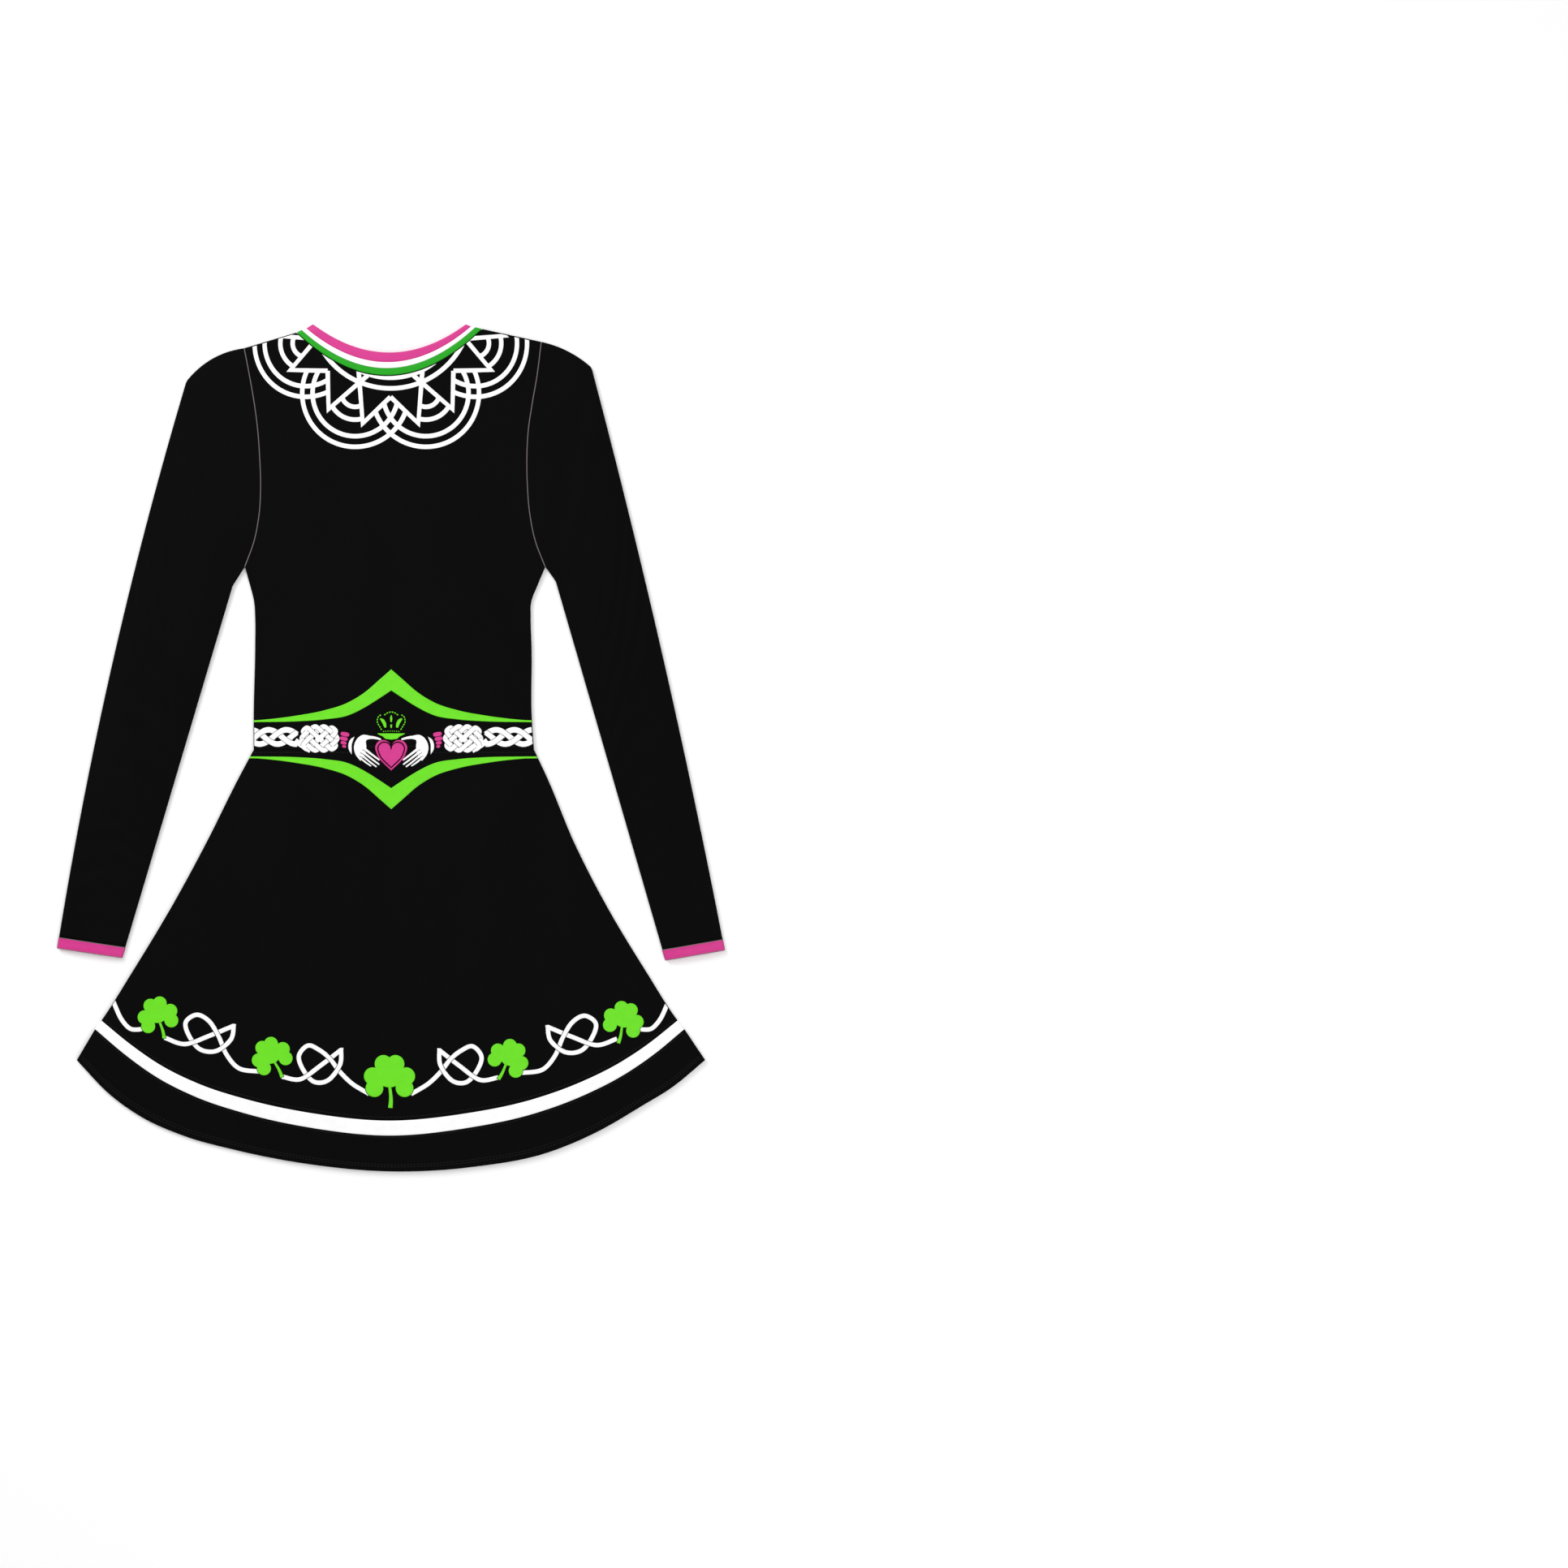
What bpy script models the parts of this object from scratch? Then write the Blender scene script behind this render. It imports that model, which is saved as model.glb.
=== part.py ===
"""Irish dance dress, laid flat on its back with the front up.

+X is the wearer's left, +Y runs to the neck, +Z is up, and the surface it lies on is z = 0.
Sizes are metres. In every table "right" is the wearer's right, at -X.
"""

import math

import bmesh
import bpy
import numpy as np
from mathutils import Vector
from mathutils.geometry import delaunay_2d_cdt

# Walls, gaps and heights
CLOTH = 0.0015
GAP = 0.0003
APPLIQUE = 0.0008
APPLIQUE_GAP = 0.0004
FRONT_BASE = CLOTH + GAP
BODY_LOFT = 0.003
SLEEVE_LOFT = 0.0028
HEM_LOFT_SHARE = 0.2
SHOULDER_FADE = 0.07

# Heights along the body
HEM_Y = -0.323
STRIPE_BOTTOM_Y = -0.291
STRIPE_TOP_Y = -0.282
WAIST_Y = -0.0025
UNDERARM_Y = 0.187
SHOULDER_Y = {"right": 0.4135, "left": 0.420}
COLUMN = {"right": 1, "left": 2}

# Bodice side edges from the waist to the underarm: height, right, left
BODICE_SIDES = [
    (-0.003, -0.142, 0.148),
    (0.035, -0.142, 0.1455),
    (0.102, -0.1405, 0.1455),
    (0.136, -0.1405, 0.1445),
    (0.151, -0.1415, 0.145),
    (0.169, -0.146, 0.152),
    (0.187, -0.151, 0.1595),
]
BODICE_ROWS = 17
BODICE_COLUMNS = 20
ROWS_TO_UNDERARM = 5
BEND_START = 0.6       # share up the bodice where its rows start to bend to the neckline
# Spread of the columns, so that they meet the neckline's ends: even share, share across
COLUMN_SPREAD = [(0.0, 0.0), (0.15, 0.1765), (0.85, 0.80), (1.0, 1.0)]
ARMHOLE_GAP = 0.0004
# Armhole edges from the underarm to the shoulder: height, right, left
ARMHOLES = [
    (0.187, -0.151, 0.1595),
    (0.213, -0.1415, 0.1495),
    (0.242, -0.136, 0.1435),
    (0.272, -0.1345, 0.141),
    (0.301, -0.1355, 0.1405),
    (0.329, -0.1375, 0.142),
    (0.356, -0.141, 0.146),
    (0.385, -0.146, 0.151),
    (0.420, -0.1528, 0.1554),
]
# Skirt side edges from the hem corner to the waist: height, right, left
SKIRT_SIDES = [
    (-0.323, -0.325, 0.325),
    (-0.291, -0.306, 0.3035),
    (-0.282, -0.2995, 0.2965),
    (-0.234, -0.269, 0.2655),
    (-0.167, -0.2285, 0.225),
    (-0.099, -0.1915, 0.190),
    (-0.032, -0.158, 0.162),
    (-0.002, -0.142, 0.148),
]
# How far the hem and the stripe sag between the sides, as a share: share across, hem, stripe
SAG_PROFILE = [
    (0.00, 0.000, 0.000),
    (0.05, 0.295, 0.235),
    (0.10, 0.500, 0.435),
    (0.17, 0.680, 0.635),
    (0.25, 0.805, 0.785),
    (0.37, 0.935, 0.930),
    (0.50, 1.000, 1.000),
    (0.63, 0.960, 0.930),
    (0.75, 0.830, 0.785),
    (0.83, 0.640, 0.620),
    (0.90, 0.410, 0.420),
    (0.95, 0.235, 0.230),
    (1.00, 0.000, 0.000),
]
HEM_COLUMN = 1
STRIPE_COLUMN = 2
HEM_SAG = 0.1151
STRIPE_BOTTOM_SAG = 0.110
STRIPE_TOP_SAG = 0.1035
SKIRT_COLUMNS = 24
SAG_POWER = 1.6        # how fast the panel's rows bend towards the stripe

# Neck lines from the opening outwards: right end x, y, left end x, y, height at the middle
NECK_LINES = [
    (-0.0806, 0.4381, 0.0798, 0.4381, 0.4087),
    (-0.0874, 0.4339, 0.0818, 0.4364, 0.3987),
    (-0.0924, 0.4322, 0.0874, 0.4351, 0.3924),
    (-0.0974, 0.4297, 0.0940, 0.4334, 0.3851),
]
NECK_BANDS = ["pink", "white", "green"]
NECK_COLUMNS = 16

# Sleeve: cap control point, tip, wrist ends and the underarm corner, and the outer edge's bow
SLEEVES = {
    "right": {"cap": (-0.1882, 0.4087), "tip": (-0.2117, 0.3793), "wrist": (-0.3453, -0.2071),
              "corner": (-0.1638, 0.1676), "wrist_in": (-0.2780, -0.2171), "bow": 0.0099},
    "left": {"cap": (0.1848, 0.4137), "tip": (0.2075, 0.3935), "wrist": (0.3453, -0.2092),
             "corner": (0.1705, 0.1720), "wrist_in": (0.2839, -0.2197), "bow": 0.0053},
}
SLEEVE_SECTIONS = [0.0, 0.03, 0.06, 0.095, 0.13, 0.2, 0.3, 0.42, 0.56, 0.7, 0.85, 1.0]
CAP_SHARE = 0.13       # share of the sleeve's outer edge that is the rounded cap
UNDERARM_SHARE = 0.05
CAP_BULGE_FADE = 0.25
CUFF_DEPTH = 0.011

# Rounded fold of a sleeve, outside and inside the wall: distance from the edge, half height
MID_HEIGHT = CLOTH + GAP / 2
FOLD_OUTSIDE = [(0.0, 0.0), (0.0006, 0.0012), (0.0018, CLOTH + GAP / 2)]
FOLD_INSIDE = [(CLOTH, 0.0), (0.0018, 0.0001), (0.0030, GAP / 2)]

# Belt bands: distance from the middle, top, bottom; the lower band mirrors them about BELT_Y
BELT_X = 0.0007
BELT_Y = 0.0088
BELT_END = 0.141
BELT_COLUMNS = 26
BELT_BAND = [
    (0.0, 0.0811, 0.0592),
    (0.0116, 0.0710, 0.0515),
    (0.026, 0.0584, 0.0424),
    (0.0452, 0.0466, 0.0332),
    (0.0679, 0.0391, 0.0294),
    (0.099, 0.0332, 0.0272),
    (0.141, 0.0285, 0.0265),
    (0.156, 0.0278, 0.0262),
]

# Collar knot: lobes on a ring round the neck
COLLAR_CENTRE = (0.0, 0.4549)
COLLAR_RADIUS = 0.0956
LOBE_ANGLES = [-157.5, -112.5, -67.5, -22.5]
COLLAR_STROKE = 0.0048
# Arcs round each lobe's centre: radius, half angle either side of its axis, segments
LOBE_ARCS = [(0.0556, 92.0, 14), (0.0446, 98.5, 14), (0.0275, 37.5, 5), (0.0143, 48.0, 5)]
STAR_TIP = 0.125
STAR_TIP_ANGLE = 9.0
STAR_VALLEY = 0.0837
STAR_GAP_VALLEY = 0.0923
STAR_TAIL = 0.011      # how far the star's lines run on past their crossing
RING_RADII = [0.0835, 0.0725]
RING_SEGMENTS = 22
# The knot keeps inside the bodice front's outline, above these
COLLAR_INSET = 0.001
COLLAR_CLIP_Y = 0.30
COLLAR_CLIP_TIP = Vector((0.0, 0.27))
COLLAR_CLIP_ROWS = 12

# Braid and round knot of the belt, right side, measured from the belt's centre
PLAIT_SPAN = (-0.1415, -0.0975)
PLAIT_HEIGHT = 0.0112
PLAIT_SWING = 0.0074
PLAIT_PERIOD = 0.056
PLAIT_STROKE = 0.0052
KNOT_CENTRE = (-0.0742, 0.0096)
KNOT_SIZE = (0.0183, 0.0124)
KNOT_TURNS = (3, 4)
KNOT_PHASE = math.pi / 12
KNOT_STROKE = 0.0028
LINK_BEND = (-0.093, 0.0030)

# Clasped hands, heart and crown: sizes from the belt's centre line
HEART_TOP_Y = 0.0081
HEART_TIP_Y = -0.0236
HEART_HALF = 0.0166
CROWN_BASE_Y = 0.0145
CROWN_HALF = 0.0150
CROWN_STROKE = 0.0018

# Shamrocks: x, y, width, tilt in degrees
SHAMROCKS = [
    (-0.2411, -0.2759, 0.044, 14.0),
    (-0.1239, -0.3179, 0.044, 25.0),
    (-0.0013, -0.3403, 0.056, 0.0),
    (0.1226, -0.3200, 0.044, -28.0),
    (0.2408, -0.2806, 0.044, -14.0),
]
SHAMROCK_WIDTH = 0.056
LEAF_ANGLES = [90.0, 188.0, -8.0]
LEAF_REACH = 0.0160
LEAF_SPREAD = 0.0060
LEAF_RADIUS = 0.0085
LEAF_ROOT = (0.0, -0.003)
LEAF_CORE = 0.010
STEM = [(0.0, -0.008), (0.0012, -0.018), (0.0014, -0.024), (0.0008, -0.031)]
STEM_WIDTHS = (0.0028, 0.0046)
VINE_GAP = 0.0005

# Looped strand between two shamrocks, along and across its own length of 1
LOOP_START = [(0.0, 0.0), (0.2, 0.01), (0.4, 0.17), (0.6, 0.35)]
LOOP_BACK = [
    (0.6, 0.35), (0.62, 0.21), (0.52, 0.05), (0.36, 0.01), (0.21, 0.1), (0.13, 0.22),
    (0.21, 0.33), (0.35, 0.31), (0.49, 0.2), (0.63, 0.05), (0.8, -0.04), (1.0, 0.0),
]
# Where each looped strand starts and ends, and how tall its loops are: x, y, x, y, height
VINES = [
    (-0.2320, -0.3005, -0.1362, -0.3347, 1.0),
    (-0.1110, -0.3404, -0.0238, -0.3571, 1.25),
    (0.0225, -0.3571, 0.1095, -0.3412, 1.25),
    (0.1360, -0.3360, 0.2320, -0.3015, 1.0),
]
# Loose ends of the vine at the side seams, right side; the left one mirrors it
VINE_END = [(-0.2850, -0.2650), (-0.2725, -0.2895), (-0.2604, -0.2908)]
VINE_STROKE = 0.0054

# Zip at the centre back
ZIP_SLOT = 0.0042      # half width of the slot
ZIP_BOTTOM_Y = 0.260
ZIP_TOP_Y = 0.4050
TAPE_INNER = 0.0022
TAPE_OUTER = 0.0120
TAPE_THICK = 0.001
TAPE_ENDS = (0.008, 0.002)    # how far the tapes run past the zip's bottom and top
COIL_HALF = 0.0019
SLIDER_LENGTH = 0.009
SLIDER_HALF = 0.0032
WING_THICK = 0.0005
LUG_INNER = 0.0015
LUG_OUTER = 0.0021
LUG_HALF = 0.0007      # half length of a lug along the zip
LUG_LOW = 0.0002
POST_HALF = 0.0008     # half width of the post between the slider's two wings
POST_ENDS = (0.003, 0.0005)
OVERLAP = 0.0001       # how far parts of the slider run into each other before they are fused
PULL_AXIS_INSET = 0.0035
PULL_AXIS_Z = 0.00055
PULL_BARREL_RADIUS = 0.00035
PULL_PLAY = 0.0001
PULL_LENGTH = 0.018
PULL_THICK = 0.0005
PULL_HALF = 0.0020
PULL_NECK_HALF = 0.0012
PULL_NECK_LENGTH = 0.0030
PULL_CORNER = 0.0012

SEAM = GAP / 2
BLACK = (0.004, 0.004, 0.005, 1.0)
WHITE = (0.86, 0.86, 0.86, 1.0)
PINK = (0.708, 0.058, 0.296, 1.0)
GREEN = (0.025, 0.402, 0.0086, 1.0)
LIME = (0.171, 0.768, 0.028, 1.0)
GREY = (0.055, 0.056, 0.056, 1.0)


# Scene and small tools

def clear_scene():
    for obj in list(bpy.data.objects):
        bpy.data.objects.remove(obj, do_unlink=True)


def make_collection(name):
    collection = bpy.data.collections.new(name)
    bpy.context.scene.collection.children.link(collection)
    return collection


def make_material(name, colour, roughness, metallic=0.0):
    material = bpy.data.materials.new(name)
    material.use_nodes = True
    shader = material.node_tree.nodes["Principled BSDF"]
    shader.inputs["Base Color"].default_value = colour
    shader.inputs["Roughness"].default_value = roughness
    shader.inputs["Metallic"].default_value = metallic
    return material


def add_piece(name, bm, collection, material):
    mesh = bpy.data.meshes.new(name)
    bm.to_mesh(mesh)
    bm.free()
    mesh.materials.append(material)
    obj = bpy.data.objects.new(name, mesh)
    collection.objects.link(obj)
    return obj


def thicken(obj, thickness):
    """Turn an open surface that faces up into a wall that rises from it."""
    solidify = obj.modifiers.new("wall", "SOLIDIFY")
    solidify.thickness = thickness
    solidify.offset = 1.0
    return obj


def lerp(a, b, share):
    return a + (b - a) * share


def smooth_step(value):
    value = min(max(value, 0.0), 1.0)
    return value * value * (3.0 - 2.0 * value)


def read(rows, place, column):
    """A table's column at a place, on a smooth curve through its rows."""
    places = [row[0] for row in rows]
    values = [row[column] for row in rows]
    slopes = np.gradient(values, places)
    place = min(max(place, places[0]), places[-1])
    i = min(max(int(np.searchsorted(places, place)) - 1, 0), len(rows) - 2)
    span = places[i + 1] - places[i]
    t = (place - places[i]) / span
    return float(values[i] * (1 + 2 * t) * (1 - t) ** 2 + slopes[i] * span * t * (1 - t) ** 2
                 + values[i + 1] * t * t * (3 - 2 * t) - slopes[i + 1] * span * t * t * (1 - t))


def smooth_path(points, steps):
    """Points on a smooth curve through a few given ones."""
    count = len(points)
    path = []
    for i in range(count - 1):
        before = Vector(points[max(i - 1, 0)])
        start, end = Vector(points[i]), Vector(points[i + 1])
        after = Vector(points[min(i + 2, count - 1)])
        for step in range(steps):
            t = step / steps
            path.append(0.5 * (2 * start + (end - before) * t
                               + (2 * before - 5 * start + 4 * end - after) * t * t
                               + (3 * start - before - 3 * end + after) * t ** 3))
    path.append(Vector(points[-1]))
    return path


def arc_path(centre, radius, start, end, segments):
    angles = [math.radians(lerp(start, end, i / segments)) for i in range(segments + 1)]
    return [Vector((centre[0] + radius * math.cos(a), centre[1] + radius * math.sin(a)))
            for a in angles]


def turned(points, angle, scale, place):
    """Points scaled, turned by an angle in degrees and moved to a place."""
    c, s = math.cos(math.radians(angle)), math.sin(math.radians(angle))
    return [Vector((place[0] + scale * (c * x - s * y), place[1] + scale * (s * x + c * y)))
            for x, y in points]


# Outline of the dress

def side_x(y, side):
    """The bodice's or skirt's side edge at a height."""
    if y < WAIST_Y:
        return read(SKIRT_SIDES, y, COLUMN[side])
    if y < UNDERARM_Y:
        return read(BODICE_SIDES, y, COLUMN[side])
    return read(ARMHOLES, y, COLUMN[side])


def neck_point(line, share):
    """A point of a neck line, from its right end to its left end."""
    x_right, y_right, x_left, y_left, y_middle = NECK_LINES[line]
    sag = (y_right + y_left) / 2 - y_middle
    return Vector((lerp(x_right, x_left, share),
                   lerp(y_right, y_left, share) - sag * (1 - (2 * share - 1) ** 2)))


def shoulder_y(x):
    """Height of the shoulder line, carried on across the neck."""
    side = "right" if x < 0 else "left"
    edge = side_x(SHOULDER_Y[side], side)
    neck = neck_point(3, 0.0 if x < 0 else 1.0)
    slope = (neck.y - SHOULDER_Y[side]) / (neck.x - edge)
    return SHOULDER_Y[side] + slope * (x - edge)


def front_height(x, y):
    """Underside of the front panel where it lies on the back one."""
    right = side_x(y, "right")
    left = side_x(y, "left")
    across = min(abs((2 * x - right - left) / (left - right)), 1.0)
    down = min(max((WAIST_Y - y) / (WAIST_Y - HEM_Y), 0.0), 1.0)
    loft = BODY_LOFT * (1 - across ** 4) ** 2 * lerp(1.0, HEM_LOFT_SHARE, smooth_step(down))
    return FRONT_BASE + loft * smooth_step((shoulder_y(x) - y) / SHOULDER_FADE)


def applique_height(x, y):
    return front_height(x, y) + CLOTH + APPLIQUE_GAP


def flat_height(x, y):
    return 0.0


def skirt_point(y, sag, column, share):
    """A point of a row across the skirt that ends at height y on both sides."""
    x = lerp(side_x(y, "right"), side_x(y, "left"), share)
    return Vector((x, y - sag * read(SAG_PROFILE, share, column)))


def skirt_panel_point(u, v):
    """The black skirt panel, from the stripe up to the waist."""
    y = lerp(STRIPE_TOP_Y + SEAM, WAIST_Y - SEAM, v)
    sag = STRIPE_TOP_SAG * (1 - v) ** SAG_POWER
    return skirt_point(y, sag, STRIPE_COLUMN, u)


def hem_stripe_point(u, v):
    low = skirt_point(STRIPE_BOTTOM_Y, STRIPE_BOTTOM_SAG - SEAM, STRIPE_COLUMN, u)
    high = skirt_point(STRIPE_TOP_Y, STRIPE_TOP_SAG + SEAM, STRIPE_COLUMN, u)
    return low.lerp(high, v)


def hem_border_point(u, v):
    low = skirt_point(HEM_Y, HEM_SAG, HEM_COLUMN, u)
    high = skirt_point(STRIPE_BOTTOM_Y, STRIPE_BOTTOM_SAG + SEAM, STRIPE_COLUMN, u)
    return low.lerp(high, v)


def bodice_point(u, v):
    """The bodice panel: straight rows below, bent up to the shoulders and neck above."""
    share = float(np.interp(u, *zip(*COLUMN_SPREAD)))
    below = ROWS_TO_UNDERARM / BODICE_ROWS
    if v < below:
        y_right = y_left = lerp(WAIST_Y + SEAM, UNDERARM_Y, v / below)
    else:
        up = (v - below) / (1 - below)
        y_right = lerp(UNDERARM_Y, SHOULDER_Y["right"], up)
        y_left = lerp(UNDERARM_Y, SHOULDER_Y["left"], up)
    x = lerp(side_x(y_right, "right"), side_x(y_left, "left"), share)
    y = lerp(y_right, y_left, share)
    bend = smooth_step((v - BEND_START) / (1 - BEND_START))
    top_x = lerp(side_x(SHOULDER_Y["right"], "right"), side_x(SHOULDER_Y["left"], "left"), share)
    top = lerp(SHOULDER_Y["right"], SHOULDER_Y["left"], share)
    return Vector((x, y + bend * (bodice_top(top_x) - top)))


def bodice_top(x):
    """The bodice's top edge: shoulder line, outer neck line, shoulder line."""
    start, end = neck_point(3, 0.0), neck_point(3, 1.0)
    if start.x < x < end.x:
        return neck_point(3, (x - start.x) / (end.x - start.x)).y - GAP
    return shoulder_y(x)


# Ways of making a piece

def grid_piece(name, place, height, columns, rows, collection, material, thickness=CLOTH):
    """A cloth wall over a grid, whose points are given by their shares across and up."""
    bm = bmesh.new()
    bmesh.ops.create_grid(bm, x_segments=columns, y_segments=rows, size=0.5)
    for vert in bm.verts:
        point = place(vert.co.x + 0.5, vert.co.y + 0.5)
        vert.co = (point.x, point.y, height(point.x, point.y))
    return thicken(add_piece(name, bm, collection, material), thickness)


def grid_rim(place, columns, rows):
    """The outline of a grid, once round."""
    bottom = [place(i / columns, 0.0) for i in range(columns)]
    left = [place(1.0, i / rows) for i in range(rows)]
    top = [place(1.0 - i / columns, 1.0) for i in range(columns)]
    right = [place(0.0, 1.0 - i / rows) for i in range(rows)]
    return bottom + left + top + right


def signed_area(outline):
    return sum(a[0] * b[1] - b[0] * a[1] for a, b in zip(outline, outline[1:] + outline[:1])) / 2


def merged(outlines, clip=None, holes=()):
    """One flat surface of all that some outlines cover, inside a clip outline and outside holes."""
    rings = outlines + ([clip] if clip else []) + list(holes)
    points, faces = [], []
    for ring in rings:
        ring = list(ring) if signed_area(list(ring)) > 0 else list(reversed(ring))
        faces.append(list(range(len(points), len(points) + len(ring))))
        points.extend(Vector((p[0], p[1])) for p in ring)
    verts, _, triangles, _, _, sources = delaunay_2d_cdt(points, [], faces, 0, 1e-6, True)
    clip_id = len(outlines)
    first_hole = clip_id + (1 if clip else 0)
    bm = bmesh.new()
    corners = [bm.verts.new((v.x, v.y, 0.0)) for v in verts]
    for triangle, source in zip(triangles, sources):
        inside = any(i < clip_id for i in source) and (clip is None or clip_id in source)
        if inside and not any(i >= first_hole for i in source):
            bm.faces.new([corners[i] for i in triangle])
    loose = [vert for vert in bm.verts if not vert.link_faces]
    bmesh.ops.delete(bm, geom=loose, context="VERTS")
    bmesh.ops.remove_doubles(bm, verts=bm.verts, dist=0.00002)
    bmesh.ops.dissolve_limit(bm, angle_limit=math.radians(1.0), verts=bm.verts, edges=bm.edges)
    bmesh.ops.triangulate(bm, faces=bm.faces)
    return bm


def outline_piece(name, outlines, height, thickness, collection, material, clip=None, holes=()):
    """A flat piece cut to the union of some outlines and laid at a height."""
    bm = merged(outlines, clip, holes)
    for vert in bm.verts:
        vert.co.z = height(vert.co.x, vert.co.y)
    return thicken(add_piece(name, bm, collection, material), thickness)


def strand(path, width):
    """Triangles of a flat strand along a path, mitred at its corners."""
    edges = []
    count = len(path)
    for i, point in enumerate(path):
        back = (point - path[i - 1]).normalized() if i else None
        ahead = (path[i + 1] - point).normalized() if i < count - 1 else None
        if back is None or ahead is None:
            along, stretch = (back or ahead), 1.0
        else:
            along = (back + ahead).normalized()
            stretch = 1.0 / max(along.dot(ahead), 0.5)
        offset = Vector((-along.y, along.x)) * width / 2 * stretch
        edges.append((point - offset, point + offset))
    return strip(edges)


def strip(edges):
    """Triangles between one pair of edge points and the next."""
    triangles = []
    for a, b in zip(edges, edges[1:]):
        triangles += [[a[0], b[0], b[1]], [a[0], b[1], a[1]]]
    return triangles


# Cloth panels

def add_bodice(collection, black):
    grid_piece("bodice_front", bodice_point, front_height, BODICE_COLUMNS, BODICE_ROWS,
               collection, black)
    rim = grid_rim(bodice_point, BODICE_COLUMNS, BODICE_ROWS)
    outline_piece("bodice_back", [rim], flat_height, CLOTH, collection, black, clip=slot_free(rim))


def slot_free(rim):
    """The back's outline with the zip's slot cut in from the neck."""
    inner = [p for p in rim if not (abs(p.x) < ZIP_SLOT + GAP and p.y > ZIP_BOTTOM_Y)]
    neck = next(i for i, p in enumerate(inner) if p.x < 0 and p.y > ZIP_BOTTOM_Y
                and inner[i - 1].x > 0)
    top = bodice_top(ZIP_SLOT)
    slot = [Vector((ZIP_SLOT, top)), Vector((ZIP_SLOT, ZIP_BOTTOM_Y)),
            Vector((-ZIP_SLOT, ZIP_BOTTOM_Y)), Vector((-ZIP_SLOT, top))]
    return inner[:neck] + slot + inner[neck:]


def add_neck_bands(collection, materials):
    for line, name in enumerate(NECK_BANDS):
        def place(u, v, line=line):
            outer = neck_point(line + 1, u) + Vector((0.0, SEAM))
            inner = neck_point(line, u) - Vector((0.0, SEAM if line else 0.0))
            return outer.lerp(inner, v)

        def right_half(u, v, place=place, line=line):
            return place(u * slot_share(line, -ZIP_SLOT), v)

        def left_half(u, v, place=place, line=line):
            return place(lerp(slot_share(line, ZIP_SLOT), 1.0, u), v)

        grid_piece(f"neck_{name}_front", place, front_height, NECK_COLUMNS, 1, collection,
                   materials[name])
        for side, half in (("right", right_half), ("left", left_half)):
            grid_piece(f"neck_{name}_back_{side}", half, flat_height, NECK_COLUMNS // 2, 1,
                       collection, materials[name])


def slot_share(line, x):
    """Share along a neck band where it meets the zip's slot."""
    ends = [(NECK_LINES[i][0], NECK_LINES[i][2]) for i in (line, line + 1)]
    shares = [(x - right) / (left - right) for right, left in ends]
    return min(shares) if x < 0 else max(shares)


def add_skirt(collection, materials):
    pieces = [("skirt", skirt_panel_point, 9, "black"), ("hem_stripe", hem_stripe_point, 1, "white"),
              ("hem_border", hem_border_point, 2, "black")]
    for name, place, rows, colour in pieces:
        grid_piece(f"{name}_front", place, front_height, SKIRT_COLUMNS, rows, collection,
                   materials[colour])
        outline_piece(f"{name}_back", [grid_rim(place, SKIRT_COLUMNS, rows)], flat_height, CLOTH,
                      collection, materials[colour])


# Sleeves

def armhole_point(side, share):
    """A point of the armhole, from the shoulder down to the underarm."""
    y = lerp(SHOULDER_Y[side], UNDERARM_Y, share)
    out = -ARMHOLE_GAP if side == "right" else ARMHOLE_GAP
    return Vector((side_x(y, side) + out, y))


def sleeve_edges(side, t):
    """Outer and inner edge of the sleeve at a share of its length."""
    sleeve = SLEEVES[side]
    top, low = armhole_point(side, 0.0), armhole_point(side, 1.0)
    cap, tip, wrist = (Vector(sleeve[key]) for key in ("cap", "tip", "wrist"))
    if t < CAP_SHARE:
        s = t / CAP_SHARE
        outer = top.lerp(cap, s).lerp(cap.lerp(tip, s), s)
    else:
        s = (t - CAP_SHARE) / (1 - CAP_SHARE)
        along = (wrist - tip).normalized()
        out = Vector((along.y, -along.x)) * (1 if side == "right" else -1)
        outer = tip.lerp(wrist, s) + out * sleeve["bow"] * 4 * s * (1 - s)
    corner, wrist_in = Vector(sleeve["corner"]), Vector(sleeve["wrist_in"])
    if t < UNDERARM_SHARE:
        inner = low.lerp(corner, t / UNDERARM_SHARE)
    else:
        outer_run = (wrist - tip).length / (1 - CAP_SHARE)
        inner_run = (wrist_in - corner).length / (1 - UNDERARM_SHARE)
        lag = (outer_run / inner_run - 1) * (1 - t) * smooth_step((t - 0.7) / 0.25)
        inner = corner.lerp(wrist_in, (t - lag - UNDERARM_SHARE) / (1 - UNDERARM_SHARE))
    return outer, inner


def sleeve_point(side, t, share, inset=0.0):
    """A point across the flat sleeve, moved in from both edges by an inset."""
    outer, inner = sleeve_edges(side, t)
    across = (inner - outer).length
    place = lerp(inset / across, 1 - inset / across, share)
    point = outer.lerp(inner, place)
    top, low = armhole_point(side, 0.0), armhole_point(side, 1.0)
    bulge = armhole_point(side, place) - top.lerp(low, place)
    return point + bulge * max(1 - t / CAP_BULGE_FADE, 0.0) ** 2


def sleeve_loft(t, share):
    across = abs(2 * share - 1)
    ramp = smooth_step(t / 0.2) * lerp(1.0, 0.5, smooth_step((t - 0.6) / 0.4))
    return SLEEVE_LOFT * (1 - across ** 4) ** 2 * ramp


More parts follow.
